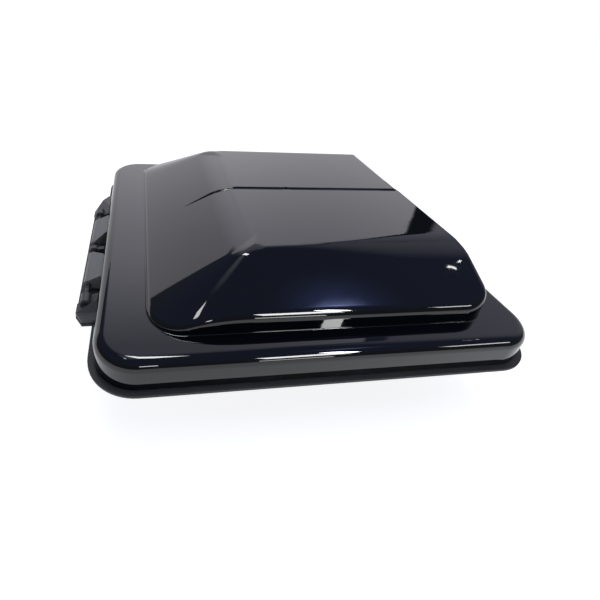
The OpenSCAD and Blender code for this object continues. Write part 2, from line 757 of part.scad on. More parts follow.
module motor_bracket() color([0.3, 0.31, 0.33]) difference() {
  union() {
    translate([0, 0, spider_top - spider_t]) cylinder(r = motor_r + 5, h = spider_t);
    for (a = [0:90:270]) rotate([0, 0, a]) {
      translate([motor_r, -spider_w/2, spider_top - spider_t])
        cube([foot_r + 7 - motor_r, spider_w, spider_t]);
      translate([foot_r - 6, -spider_w/2, deck_z]) cube([13, spider_w, spider_top - deck_z]);
      translate([motor_r + 1, -1.5, spider_top - eps]) cube([foot_r - motor_r - 9, 3, 7]);
    }
  }
  translate([0, 0, deck_z]) cylinder(r = 9, h = 20);
  for (a = [0:90:270]) rotate([0, 0, a]) translate([foot_r, 0, deck_z - 1])
    cylinder(r = screw_r + screw_play, h = 20);
  for (a = [45:120:285]) rotate([0, 0, a]) translate([motor_bolt_r, 0, deck_z])
    cylinder(r = screw_r + screw_play, h = 20);
}

module bracket_bolts() color([0.5, 0.5, 0.52]) for (a = [0:90:270]) rotate([0, 0, a])
  translate([foot_r, 0, spider_top]) pan_screw(spider_top - deck_z + deck_t + 3);

module motor_can() color([0.62, 0.63, 0.65]) difference() {
  union() {
    translate([0, 0, spider_top]) cylinder(r = motor_r, h = motor_h);
    translate([0, 0, spider_top - spider_t]) cylinder(r = 8.9, h = spider_t + eps);
  }
  translate([0, 0, spider_top - spider_t - 1]) cylinder(r = motor_shaft_r + motor_play, h = spider_t + 26);
  for (a = [45:120:285]) rotate([0, 0, a]) translate([motor_bolt_r, 0, spider_top - 1])
    cylinder(r = screw_r + screw_play, h = 8);
}

module motor_endcap() color([0.1, 0.1, 0.11]) translate([0, 0, spider_top + motor_h]) {
  rotate_extrude() {
    square([motor_r, endcap_h - 3]);
    square([motor_r - 3, endcap_h]);
    translate([motor_r - 3, endcap_h - 3]) circle(3);
  }
  cylinder(r = 9, h = endcap_h + 3);
  for (s = [-1, 1]) translate([s*18 - 0.4, -3, endcap_h - 1]) cube([0.8, 6, 8]);
}

module motor_bolts() color([0.5, 0.5, 0.52]) for (a = [45:120:285]) rotate([0, 0, a])
  translate([motor_bolt_r, 0, spider_top - spider_t]) rotate([180, 0, 0]) pan_screw(spider_t + 6);

module motor_shaft() color([0.7, 0.7, 0.72])
  translate([0, 0, hub_z - 5]) cylinder(r = motor_shaft_r, h = spider_top + 20 - hub_z + 5);

// cambered and twisted blade as a grid over span (i) and chord (j), two skins
blade_ni = 6;
blade_nj = 6;
function blade_point(i, j, side) = let(
    f = i/blade_ni,
    g = j/blade_nj - 0.5,
    r = hub_r - 3 + (fan_r - hub_r + 3)*f,
    c = chord_root + (chord_tip - chord_root)*f,
    p = pitch_root + (pitch_tip - pitch_root)*f,
    h = camber*(1 - 4*g*g) + side*blade_t/2*(1.05 - 3.6*g*g) - camber/2,
    u = c*g,
    a = (u*cos(p) - h*sin(p))/r*180/PI)
  [r*cos(a), r*sin(a), u*sin(p) + h*cos(p)];

module blade() {
  n = blade_nj + 1;
  m = (blade_ni + 1)*n;
  pts = concat([for (i = [0:blade_ni], j = [0:blade_nj]) blade_point(i, j, 1)],
    [for (i = [0:blade_ni], j = [0:blade_nj]) blade_point(i, j, -1)]);
  skin = [for (i = [0:blade_ni - 1], j = [0:blade_nj - 1]) let(a = i*n + j, b = a + n) [a, b, b + 1, a + 1]];
  rim = concat([for (i = [0:blade_ni]) i*n], [for (j = [1:blade_nj]) blade_ni*n + j],
    [for (i = [blade_ni - 1:-1:0]) i*n + blade_nj], [for (j = [blade_nj - 1:-1:1]) j]);
  tri = [for (q = skin) each [[q[0], q[2], q[1]], [q[0], q[3], q[2]]]];
  low = [for (t = tri) [t[0] + m, t[2] + m, t[1] + m]];
  edge = [for (k = [0:len(rim) - 1]) let(a = rim[k], b = rim[(k + 1)%len(rim)])
    each [[a, b, b + m], [a, b + m, a + m]]];
  polyhedron(points = pts, faces = concat(tri, low, edge));
}

module fan_rotor() color([0.85, 0.86, 0.88]) difference() {
  union() {
    translate([0, 0, hub_z]) difference() {
      cylinder(r = hub_r, h = hub_h);
      translate([0, 0, -1]) cylinder(r = hub_r - 2.5, h = hub_h - 2);
    }
    translate([0, 0, hub_z]) cylinder(r = 8, h = hub_h);
    translate([0, 0, blade_z]) for (k = [0:blade_n - 1]) rotate([0, 0, 360*k/blade_n]) blade();
  }
  translate([0, 0, hub_z - 30]) cylinder(r = motor_shaft_r + shaft_play, h = hub_h + 60);
}

module rotor_nut() color([0.7, 0.7, 0.72]) translate([0, 0, hub_z - 4]) difference() {
  cylinder(r = 6, h = 4, $fn = 6);
  translate([0, 0, -1]) cylinder(r = motor_shaft_r + shaft_play, h = 6);
}

// screen and controls
module screen_plan() difference() {
  rounded(neck_in - 0.6, neck_in_r - 0.6);
  circle(screen_hole_r, $fn = 120);
  for (x = [-1, 1], y = [-1, 1]) translate([x*post_x, y*post_y]) circle(screw_r + screw_play);
  translate([crank_x, -gear_y]) circle(crank_r + 1);
  translate([control_xy, -control_xy]) circle(5 + screw_play);
  translate([control_xy, control_xy]) square([13, 21], center = true);
}

module screen_frame() color([0.08, 0.08, 0.085])
  translate([0, 0, screen_z]) linear_extrude(screen_t) screen_plan();

module screen_mesh() color([0.25, 0.25, 0.26]) translate([0, 0, screen_top]) linear_extrude(mesh_t) {
  difference() {
    circle(mesh_r, $fn = 120);
    circle(mesh_r - 4, $fn = 120);
  }
  intersection() {
    circle(mesh_r - 2, $fn = 120);
    union() for (k = [-floor(mesh_r/mesh_pitch):floor(mesh_r/mesh_pitch)]) {
      translate([k*mesh_pitch, 0]) square([mesh_bar, 2*mesh_r], center = true);
      translate([0, k*mesh_pitch]) square([2*mesh_r, mesh_bar], center = true);
    }
  }
}

module screen_screws() color([0.5, 0.5, 0.52]) on_posts(screen_z) rotate([180, 0, 0]) pan_screw(12);

module speed_switch() color([0.15, 0.15, 0.16]) translate([control_xy, -control_xy, 0]) {
  translate([0, 0, screen_top]) cylinder(r = 11, h = 16);
  translate([0, 0, screen_z - 2]) cylinder(r = 5, h = screen_t + 3);
  translate([0, 0, speed_z + 4]) cylinder(r = 3, h = screen_z - speed_z - 5);
}

module speed_knob() color([0.05, 0.05, 0.055]) translate([control_xy, -control_xy, speed_z]) difference() {
  union() {
    cylinder(r1 = speed_r - 1.5, r2 = speed_r, h = speed_h);
    translate([-2, 0, -3]) cube([4, speed_r - 1.5, 4]);
  }
  translate([0, 0, 3]) cylinder(r = 3 + shaft_play, h = speed_h);
  for (k = [0:15]) rotate([0, 0, 22.5*k + 11]) translate([speed_r + 0.6, 0, 2])
    cylinder(r = 1.6, h = speed_h, $fn = 16);
}

module rocker_bezel() color([0.07, 0.07, 0.075]) translate([control_xy, control_xy, 0]) difference() {
  union() {
    translate([-9, -13, screen_z - 1.5]) cube([18, 26, 1.5]);
    translate([-6.4, -10.4, screen_z - eps]) cube([12.8, 20.8, 16]);
  }
  translate([-5, -9, screen_z - 2]) cube([10, 18, 14]);
  translate([-6, 0, screen_z + 1]) rotate([0, 90, 0]) cylinder(r = 1.2 + shaft_play, h = 12);
}

module rocker() color([0.03, 0.03, 0.035]) translate([control_xy, control_xy, screen_z + 1]) {
  lip = 8*tan(rocker_swing) - 3.6;
  along_x(-4.6, 9.2) polygon([[-8, lip], [0, -3.6], [8, lip], [7.4, 1.5], [0, 4], [-7.4, 1.5]]);
  translate([-6, 0, 0]) rotate([0, 90, 0]) cylinder(r = 1.2, h = 12);
}

base_frame();
curb_seal();
hinge_brackets();
hinge_rib();
bracket_screws();
hinge_rod();
lid_shell();
hinge_lugs();
lug_screws();
lift_tracks();
track_screws();
lift_shaft();
lift_arms();
arm_rollers();
worm_wheel();
worm_shaft();
crank_knob();
knob_screw();
operator_frame();
bearing_frame();
frame_screws();
fan_shroud();
shroud_screws();
motor_bracket();
bracket_bolts();
motor_can();
motor_endcap();
motor_bolts();
motor_shaft();
fan_rotor();
rotor_nut();
screen_frame();
screen_mesh();
screen_screws();
speed_switch();
speed_knob();
rocker_bezel();
rocker();
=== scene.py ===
import json
import logging
import math
from dataclasses import dataclass, field
from enum import Enum
from typing import Any, Optional, Sequence

import bpy
import numpy as np
from mathutils import Matrix, Vector

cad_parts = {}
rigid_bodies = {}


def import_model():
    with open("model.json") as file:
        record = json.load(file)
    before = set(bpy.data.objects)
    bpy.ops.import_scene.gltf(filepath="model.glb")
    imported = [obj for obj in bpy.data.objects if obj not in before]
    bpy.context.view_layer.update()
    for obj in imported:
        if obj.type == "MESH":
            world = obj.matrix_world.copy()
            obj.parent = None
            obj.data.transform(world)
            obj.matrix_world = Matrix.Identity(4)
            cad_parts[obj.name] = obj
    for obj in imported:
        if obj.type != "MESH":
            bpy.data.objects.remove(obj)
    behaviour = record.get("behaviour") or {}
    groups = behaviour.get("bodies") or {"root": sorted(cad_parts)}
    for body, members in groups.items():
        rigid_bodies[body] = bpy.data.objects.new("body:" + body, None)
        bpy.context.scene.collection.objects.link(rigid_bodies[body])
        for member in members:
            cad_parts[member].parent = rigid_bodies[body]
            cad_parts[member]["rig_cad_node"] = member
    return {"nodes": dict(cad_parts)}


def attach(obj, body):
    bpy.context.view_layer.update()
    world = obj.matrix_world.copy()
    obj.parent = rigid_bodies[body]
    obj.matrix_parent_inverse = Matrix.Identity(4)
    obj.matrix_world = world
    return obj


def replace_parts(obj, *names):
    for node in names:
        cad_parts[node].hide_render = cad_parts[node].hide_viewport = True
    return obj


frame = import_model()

# Looks of a hinged-lid roof vent fan, built round its CAD frame.
# Sizes are in millimetres unless a docstring says otherwise.

MM = 0.001
TAU = 2 * math.pi
Array = np.ndarray
Pair = tuple[float, float]
Triple = tuple[float, float, float]
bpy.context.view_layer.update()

# Plan position of the crank's axis.
CRANK_AXIS: Pair = (-130.101, -104)

# Rounds, longest step and least squared slope when points are carried to the lid's surface.
SETTLE_ROUNDS = 40
SETTLE_STEP = 0.4
SETTLE_SLOPE = 0.3

# Distance in metres of the lamps that stand for highlights.
GLINT_FAR = 1.5

# Width of the camera's sensor.
SENSOR = 36

logging.basicConfig(level=logging.INFO, format="%(name)s: %(message)s")
log = logging.getLogger("vent")


# Surfaces

@dataclass
class Patch:
    """A grid of points, or a batch of such grids, that becomes part of a mesh.

    Args:
        points: Array of shape (..., rows, columns, 3).
        closed: Whether the last column joins the first.
        flip: Whether the faces are turned over.
        normals: Optional normals of the same shape as points.
    """

    points: Array
    closed: bool = True
    flip: bool = False
    normals: Optional[Array] = None

    def faces(self, base: int) -> Array:
        """Quads that join each point to its neighbours along rows and columns.

        Args:
            base: Number of the first vertex.

        Returns:
            Array of vertex numbers, four per face.
        """
        rows, cols = self.points.shape[-3:-1]
        count = int(np.prod(self.points.shape[:-3], dtype=int))
        last = cols if self.closed else cols - 1
        b, i, j = np.meshgrid(np.arange(count), np.arange(rows - 1), np.arange(last), indexing="ij")
        k = (j + 1) % cols
        first = b * rows * cols + base
        quad = np.stack([first + i * cols + j, first + i * cols + k,
                         first + (i + 1) * cols + k, first + (i + 1) * cols + j], -1).reshape(-1, 4)
        return quad[:, ::-1] if self.flip else quad


def link(name: str, data: bpy.types.ID) -> bpy.types.Object:
    """A new object with the given data, put into the scene."""
    obj = bpy.data.objects.new(name, data)
    bpy.context.scene.collection.objects.link(obj)
    return obj


def add_mesh(name: str, patches: Sequence[Patch], sharp_deg: float = 40.0) -> bpy.types.Object:
    """One object at the origin made of all the patches, smooth below the given angle.

    Args:
        name: Name of the new piece.
        patches: Grids in millimetres.
        sharp_deg: Edges that turn more than this stay sharp.

    Returns:
        The linked object.
    """
    points, quads, normals = [], [], []
    base = 0
    for patch in patches:
        flat = patch.points.reshape(-1, 3)
        quads.append(patch.faces(base))
        points.append(flat)
        normals.append(np.zeros_like(flat) if patch.normals is None else patch.normals.reshape(-1, 3))
        base += len(flat)
    co = np.concatenate(points) * MM
    loops = np.concatenate(quads)
    mesh = bpy.data.meshes.new(name)
    mesh.vertices.add(len(co))
    mesh.vertices.foreach_set("co", co.astype(np.float32).ravel())
    mesh.loops.add(loops.size)
    mesh.loops.foreach_set("vertex_index", loops.astype(np.int32).ravel())
    mesh.polygons.add(len(loops))
    mesh.polygons.foreach_set("loop_start", np.arange(0, loops.size, 4, dtype=np.int32))
    mesh.update(calc_edges=True)
    mesh.validate()
    mesh.polygons.foreach_set("use_smooth", np.ones(len(mesh.polygons), dtype=bool))
    if any(p.normals is not None for p in patches):
        mesh.normals_split_custom_set_from_vertices(np.concatenate(normals).tolist())
    else:
        mesh.set_sharp_from_angle(angle=math.radians(sharp_deg))
    log.info("%s: %d faces", name, len(mesh.polygons))
    return link(name, mesh)


def revolve(profile: Sequence[Pair], count: int = 64, at: Triple = (0, 0, 0)) -> Patch:
    """Profile of (radius, height) turned about Z: x = r cos a, y = r sin a, z = h.

    Args:
        profile: Radius and height of each ring.
        count: Points round each ring.
        at: Where the axis stands.

    Returns:
        A closed patch.
    """
    r, h = np.array(profile, float).T
    a = np.linspace(0, TAU, count, endpoint=False)
    grid = np.stack([r[:, None] * np.cos(a), r[:, None] * np.sin(a), np.repeat(h[:, None], count, 1)], -1)
    return Patch(grid + np.array(at, float))


def rounded_profile(corners: Sequence[Triple], steps: int = 5) -> list[Pair]:
    """Open polyline whose inner corners are arcs: each corner is cut back by its radius along both
    sides and bridged by the curve (1-t)^2 a + 2t(1-t) b + t^2 c.

    Args:
        corners: Triples of u, v and cut-back length.
        steps: Points along each curve.

    Returns:
        Points of the softened polyline.
    """
    pts = [np.array(c[:2], float) for c in corners]
    out: list[Pair] = [tuple(pts[0])]
    t = np.linspace(0, 1, steps)[:, None]
    for i in range(1, len(pts) - 1):
        b, cut = pts[i], corners[i][2]
        a = b + (pts[i - 1] - b) / np.linalg.norm(pts[i - 1] - b) * cut
        c = b + (pts[i + 1] - b) / np.linalg.norm(pts[i + 1] - b) * cut
        out += [tuple(p) for p in (1 - t) ** 2 * a + 2 * t * (1 - t) * b + t ** 2 * c]
    return out + [tuple(pts[-1])]


def tubes(paths: Array, side: Array, lift: Array, radius: float, sides: int = 3) -> Patch:
    """Round wires along many paths at once: p + radius (cos a side + sin a lift).

    Args:
        paths: Array of shape (wires, points, 3).
        side: Direction across the wires.
        lift: Second direction across the wires.
        radius: Radius of the wires.
        sides: Points round each wire.

    Returns:
        A closed batch of patches.
    """
    a = np.linspace(0, TAU, sides, endpoint=False)
    ring = radius * (np.cos(a)[:, None] * side + np.sin(a)[:, None] * lift)
    return Patch(paths[:, :, None, :] + ring[None, None])


def block(x0: float, x1: float, y0: float, y1: float, z0: float, z1: float) -> Patch:
    """Upright box with a softened outline, closed top and bottom by shrinking rings.

    Args:
        x0, x1, y0, y1, z0, z1: Limits of the box.

    Returns:
        A closed patch.
    """
    c = np.array([(x0 + x1) / 2, (y0 + y1) / 2])
    h = np.array([(x1 - x0) / 2, (y1 - y0) / 2])
    ring = np.array([(1, -1), (1, 1), (-1, 1), (-1, -1)]) * h
    point, shrunk, soft = 0.02, 0.94, 0.3
    rows = [(point, z0), (shrunk, z0), (1, z0 + soft), (1, z1 - soft), (shrunk, z1), (point, z1)]
    grid = np.array([np.column_stack([c + ring * s, np.full(4, z)]) for s, z in rows])
    return Patch(grid)


def smooth(x: Array, limits: Pair) -> Array:
    """Smooth step from 0 to 1 between two limits: t^2 (3 - 2t)."""
    t = np.clip((x - limits[0]) / (limits[1] - limits[0]), 0, 1)
    return t * t * (3 - 2 * t)


def round_max(a: Array, b: Array, r: float) -> Array:
    """Distance to the meeting of two solids with its edge rounded: the larger of a and b, or, where
    both exceed -r, the length of (a + r, b + r) less r."""
    return np.minimum(np.maximum(a, b), -r) + np.hypot(np.maximum(a + r, 0), np.maximum(b + r, 0))


def round_min(a: Array, b: Array, r: float) -> Array:
    """Distance to two solids joined with a fillet of radius r: minus round_max of the negatives."""
    return -round_max(-a, -b, r)


def box_distance(x: Array, y: Array, hx: float, hy: float, r: float) -> Array:
    """Distance in plan to a rectangle of half sizes hx and hy with corner radius r, negative inside."""
    qx, qy = np.abs(x) - hx + r, np.abs(y) - hy + r
    return np.hypot(np.maximum(qx, 0), np.maximum(qy, 0)) + np.minimum(np.maximum(qx, qy), 0) - r


@dataclass
class Ring:
    """Template of a walk round a rectangle with rounded corners, anticlockwise from the -Y end of the
    +X side. A point is (cx (hx - r) + nx r, cy (hy - r) + ny r).

    Args:
        straight_x: Points along each side that runs along Y.
        straight_y: Points along each side that runs along X.
        arc: Points round each corner.
        cluster: Power that crowds the first kind towards y = 0.
    """

    straight_x: int = 80
    straight_y: int = 60
    arc: int = 22
    cluster: float = 1.7
    walk: Array = field(init=False)

    def __post_init__(self) -> None:
        """Builds the walk as columns cx, cy, nx, ny."""
        v = np.linspace(-1, 1, self.straight_x, endpoint=False)
        v = np.sign(v) * np.abs(v) ** self.cluster
        w = np.linspace(-1, 1, self.straight_y, endpoint=False)
        t = np.linspace(0, math.pi / 2, self.arc, endpoint=False)
        one = np.ones_like
        parts = []
        for q in range(4):
            s = v if q % 2 == 0 else w
            c, n = math.cos(q * math.pi / 2), math.sin(q * math.pi / 2)
            parts.append(np.stack([c * one(s) - n * s, n * one(s) + c * s, c * one(s), n * one(s)], -1))
            a = t + q * math.pi / 2
            k = a * 0
            parts.append(np.stack([k + round(c - n), k + round(n + c), np.cos(a), np.sin(a)], -1))
        self.walk = np.concatenate(parts)

    def at(self, hx: float, hy: float, r: float, z: Any = 0.0, x: float = 0.0) -> Array:
        """One ring.

        Args:
            hx, hy: Half sizes.
            r: Corner radius.
            z: Height, a number or one per point.
            x: Middle of the ring along X.

        Returns:
            Array of points.
        """
        cx, cy, nx, ny = self.walk.T
        return np.stack([x + cx * (hx - r) + nx * r, cy * (hy - r) + ny * r, np.zeros_like(cx) + z], -1)


# Finishes

class Effect(Enum):
    """What varies over a surface."""

    GLOSS = "gloss"
    GRAIN = "grain"
    METAL = "metal"
    PLATED = "plated"


@dataclass(frozen=True)
class Finish:
    """A finish: constants for the shader and the effect that varies it.

    Args:
        colour: Base colour, linear.
        roughness: Mean roughness.
        effect: Which shared effect varies it.
        scale: Size of the effect, in features per metre.
        depth: Height of the relief in metres.
        slot: Material slot of the record; not used.
        metallic: Share of metal.
    """

    colour: Triple
    roughness: float
    effect: Effect
    scale: float
    depth: float
    slot: str
    metallic: float = 0.0


FINISHES: dict[str, Finish] = {
    "lid_gloss": Finish((0.0018, 0.0020, 0.0034), 0.02, Effect.GLOSS, 46, 0.00005, "lid_gloss"),
    "base_plastic": Finish((0.016, 0.016, 0.0175), 0.55, Effect.GRAIN, 900, 0.00022, "base_plastic"),
    "hinge_plastic": Finish((0.030, 0.030, 0.032), 0.48, Effect.GRAIN, 1100, 0.00018, "hinge_plastic"),
    # Paler copy of the hinge plastic for the lugs: painted sheen standing in for light glancing off their
    # tilted tops.
    "hinge_lug_painted_sheen": Finish((0.115, 0.114, 0.110), 0.42, Effect.GRAIN, 1100, 0.00018, "hinge_plastic"),
    "rod_black": Finish((0.05, 0.05, 0.052), 0.45, Effect.METAL, 900, 0.00002, "steel_rod", 0.9),
    "seal_rubber": Finish((0.012, 0.012, 0.012), 0.7, Effect.GRAIN, 500, 0.0001, "seal_rubber"),
    "zinc_screw": Finish((0.60, 0.60, 0.61), 0.30, Effect.METAL, 700, 0.00003, "zinc_screw", 1.0),
    "steel_rod": Finish((0.62, 0.62, 0.63), 0.22, Effect.METAL, 900, 0.00002, "steel_rod", 1.0),
    "zinc_plate": Finish((0.52, 0.53, 0.55), 0.38, Effect.PLATED, 150, 0.00003, "zinc_plate", 1.0),
    "roller_nylon": Finish((0.74, 0.73, 0.68), 0.42, Effect.GRAIN, 700, 0.00004, "roller_nylon"),
    "wheel_brass": Finish((0.78, 0.56, 0.25), 0.30, Effect.METAL, 700, 0.00003, "wheel_brass", 1.0),
    "motor_steel": Finish((0.50, 0.51, 0.53), 0.34, Effect.PLATED, 220, 0.00002, "motor_steel", 1.0),
    "fan_white": Finish((0.74, 0.74, 0.72), 0.40, Effect.GRAIN, 420, 0.00005, "fan_white"),
    "knob_black": Finish((0.022, 0.022, 0.024), 0.42, Effect.GRAIN, 1300, 0.00012, "knob_black"),
    "screen_black": Finish((0.045, 0.045, 0.047), 0.5, Effect.GRAIN, 1600, 0.00004, "screen_black"),
}


class Graph:
    """Short hand for building a node tree.

    Args:
        tree: The tree to fill.
    """

    def __init__(self, tree: bpy.types.NodeTree) -> None:
        self.tree = tree
        tree.nodes.clear()

    def add(self, kind: str, inputs: Optional[dict[Any, Any]] = None, **props: Any) -> bpy.types.Node:
        """Adds a node.

        Args:
            kind: Node type.
            inputs: Values or sockets by input name or number.
            props: Attributes of the node.

        Returns:
            The node.
        """
        node = self.tree.nodes.new(kind)
        for key, value in props.items():
            setattr(node, key, value)
        for key, value in (inputs or {}).items():
            if isinstance(value, bpy.types.NodeSocket):
                self.tree.links.new(value, node.inputs[key])
            else:
                node.inputs[key].default_value = value
        return node

    def math(self, op: str, a: Any, b: Any = 0.0, c: Any = 0.0, clamp: bool = False) -> bpy.types.NodeSocket:
        """One arithmetic node on numbers or sockets."""
        return self.add("ShaderNodeMath", {0: a, 1: b, 2: c}, operation=op, use_clamp=clamp).outputs[0]

    def product(self, *factors: Any) -> bpy.types.NodeSocket:
        """Product of two or more numbers or sockets, taken from the left."""
        result = factors[0]
        for factor in factors[1:]:
            result = self.math("MULTIPLY", result, factor)
        return result

    def vector(self, op: str, a: Any, b: Any) -> bpy.types.NodeSocket:
        """One arithmetic node on vectors."""
        return self.add("ShaderNodeVectorMath", {0: a, 1: b}, operation=op).outputs[0]

    def dot(self, vector: bpy.types.NodeSocket, axis: Sequence[float]) -> bpy.types.NodeSocket:
        """Dot product of a vector with a fixed direction."""
        node = self.add("ShaderNodeVectorMath", {0: vector, 1: tuple(axis)}, operation="DOT_PRODUCT")
        return node.outputs["Value"]

    def ramp(self, value: Any, low: float, high: float, to_low: float = 0.0,
             to_high: float = 1.0) -> bpy.types.NodeSocket:
        """Smooth step of a value from low to high, mapped to a new range."""
        return self.add("ShaderNodeMapRange", {"Value": value, "From Min": low, "From Max": high,
                                               "To Min": to_low, "To Max": to_high},
                        interpolation_type="SMOOTHSTEP").outputs["Result"]

    def noise(self, vector: Any, scale: Any, detail: float = 3.0) -> bpy.types.NodeSocket:
        """Fractal noise between 0 and 1."""
        node = self.add("ShaderNodeTexNoise", {"Vector": vector, "Scale": scale, "Detail": detail})
        return node.outputs["Fac"]

    def scaled(self, vector: Any, amount: Any) -> bpy.types.NodeSocket:
        """A vector or colour times a value."""
        return self.add("ShaderNodeVectorMath", {0: vector, "Scale": amount}, operation="SCALE").outputs[0]

    def mix(self, factor: Any, a: Any, b: Any) -> bpy.types.NodeSocket:
        """Mix of two colours, each a socket or three numbers."""
        a, b = (v if isinstance(v, bpy.types.NodeSocket) else (*v, 1.0) for v in (a, b))
        return self.add("ShaderNodeMix", {0: factor, 6: a, 7: b}, data_type="RGBA").outputs[2]


class EffectLibrary:
    """Shared shader node groups, one per effect. Each takes Colour, Roughness, Scale and Depth and gives
    a varied Colour, Roughness and Normal."""

    def __init__(self) -> None:
        self.groups = {effect: self._group(effect) for effect in Effect}

    def _group(self, effect: Effect) -> bpy.types.ShaderNodeTree:
        """Builds one group.

        Args:
            effect: The effect to build.

        Returns:
            The node group.
        """
        tree = bpy.data.node_groups.new("fx_" + effect.value, "ShaderNodeTree")
        kinds = {"Colour": "NodeSocketColor", "Normal": "NodeSocketVector"}
        for way, names in (("INPUT", ("Colour", "Roughness", "Scale", "Depth")),
                           ("OUTPUT", ("Colour", "Roughness", "Normal"))):
            for name in names:
                tree.interface.new_socket(name, in_out=way, socket_type=kinds.get(name, "NodeSocketFloat"))
        g = Graph(tree)
        given = g.add("NodeGroupInput").outputs
        where = g.add("ShaderNodeTexCoord").outputs["Object"]
        build = {Effect.GLOSS: self._gloss, Effect.GRAIN: self._grain,
                 Effect.METAL: self._metal, Effect.PLATED: self._plated}[effect]
        colour, rough, normal = build(g, given, where)
        g.add("NodeGroupOutput", {"Colour": colour, "Roughness": rough, "Normal": normal})
        return tree

    @staticmethod
    def _relief(g: Graph, height: Any, depth: Any, bevel: float) -> bpy.types.NodeSocket:
        """Normal of a relief laid over softened edges.

        Args:
            g: Graph to add to.
            height: Height between 0 and 1.
            depth: Height of the relief in metres.
            bevel: Radius of the softened edges in metres, or 0.

        Returns:
            The normal.
        """
        inputs = {"Height": height, "Distance": depth, "Strength": 1.0}
        if bevel:
            inputs["Normal"] = g.add("ShaderNodeBevel", {"Radius": bevel}, samples=4).outputs["Normal"]
        return g.add("ShaderNodeBump", inputs).outputs["Normal"]

    def _gloss(self, g: Graph, given: Any, where: Any) -> tuple[Any, Any, Any]:
        """Polished moulding: slow waves of the mould, faint haze and fine dust."""
        wave = g.noise(where, given["Scale"], 1.5)
        haze = g.ramp(g.noise(where, 30.0, 5.0), 0.35, 0.75)
        dust = g.ramp(g.noise(where, 2600.0, 1.0), 0.70, 0.78)
        rough = g.math("MULTIPLY_ADD", haze, 0.012, given["Roughness"])
        rough = g.math("MULTIPLY_ADD", dust, 0.06, rough)
        colour = g.mix(g.math("MULTIPLY", dust, 0.02), given["Colour"], (0.5, 0.5, 0.52))
        return colour, rough, self._relief(g, wave, given["Depth"], 0.0)

    def _grain(self, g: Graph, given: Any, where: Any) -> tuple[Any, Any, Any]:
        """Spark-eroded moulding grain: pebbles, slow blotches and softened edges."""
        pebble = g.noise(where, given["Scale"], 4.0)
        blotch = g.ramp(g.noise(where, 38.0, 4.0), 0.3, 0.7)
        shade = g.math("MULTIPLY_ADD", blotch, 0.30, 0.82)
        shade = g.math("MULTIPLY_ADD", pebble, 0.16, shade)
        colour = g.scaled(given["Colour"], shade)
        rough = g.math("MULTIPLY_ADD", blotch, 0.12, given["Roughness"])
        rough = g.math("SUBTRACT", rough, g.math("MULTIPLY", pebble, 0.06))
        return colour, rough, self._relief(g, pebble, given["Depth"], 0.0006)

    def _metal(self, g: Graph, given: Any, where: Any) -> tuple[Any, Any, Any]:
        """Turned metal: fine rings across the height, with slight tarnish."""
        line = g.noise(g.vector("MULTIPLY", where, (0.15, 0.15, 4.0)), given["Scale"], 2.0)
        tarnish = g.ramp(g.noise(where, 160.0, 4.0), 0.35, 0.72)
        shade = g.math("SUBTRACT", 1.04, g.math("MULTIPLY", tarnish, 0.20))
        colour = g.scaled(given["Colour"], shade)
        rough = g.math("MULTIPLY_ADD", tarnish, 0.14, given["Roughness"])
        return colour, rough, self._relief(g, line, given["Depth"], 0.0004)

    def _plated(self, g: Graph, given: Any, where: Any) -> tuple[Any, Any, Any]:
        """Zinc-plated sheet: crystal spangle and fine rolling marks."""
        cell = g.add("ShaderNodeTexVoronoi", {"Vector": where, "Scale": given["Scale"]}).outputs["Color"]
        spangle = g.dot(cell, (0.4, 0.35, 0.25))
        line = g.noise(g.vector("MULTIPLY", where, (1.0, 0.1, 1.0)), 1800.0, 2.0)
        shade = g.math("MULTIPLY_ADD", spangle, 0.22, 0.86)
        colour = g.scaled(given["Colour"], shade)
        rough = g.math("MULTIPLY_ADD", spangle, 0.16, given["Roughness"])
        return colour, rough, self._relief(g, line, given["Depth"], 0.0004)


class Paint:
    """Materials, made once per finish.

    Args:
        effects: The shared effects.
    """

    def __init__(self, effects: EffectLibrary) -> None:
        self.effects = effects
        self.made: dict[str, bpy.types.Material] = {}

    def material(self, name: str) -> bpy.types.Material:
        """The material of a finish.

        Args:
            name: Key in FINISHES.

        Returns:
            The material.
        """
        if name in self.made:
            return self.made[name]
        finish = FINISHES[name]
        mat = bpy.data.materials.new(name)
        mat.use_nodes = True
        g = Graph(mat.node_tree)
        fx = g.add("ShaderNodeGroup", {"Colour": (*finish.colour, 1), "Roughness": finish.roughness,
                                       "Scale": finish.scale, "Depth": finish.depth},
                   node_tree=self.effects.groups[finish.effect])
        shader = g.add("ShaderNodeBsdfPrincipled", {
            "Base Color": fx.outputs["Colour"], "Roughness": fx.outputs["Roughness"],
            "Normal": fx.outputs["Normal"], "Metallic": finish.metallic})
        g.add("ShaderNodeOutputMaterial", {"Surface": shader.outputs[0]})
        self.made[name] = mat
        return mat

    def dress(self, obj: bpy.types.Object, name: str) -> bpy.types.Object:
        """Gives an object a finish.

        Args:
            obj: The object.
            name: Key in FINISHES.

        Returns:
            The object.
        """
        obj.data.materials.clear()
        obj.data.materials.append(self.material(name))
        "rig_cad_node" not in obj
        return obj


# Sub-assemblies

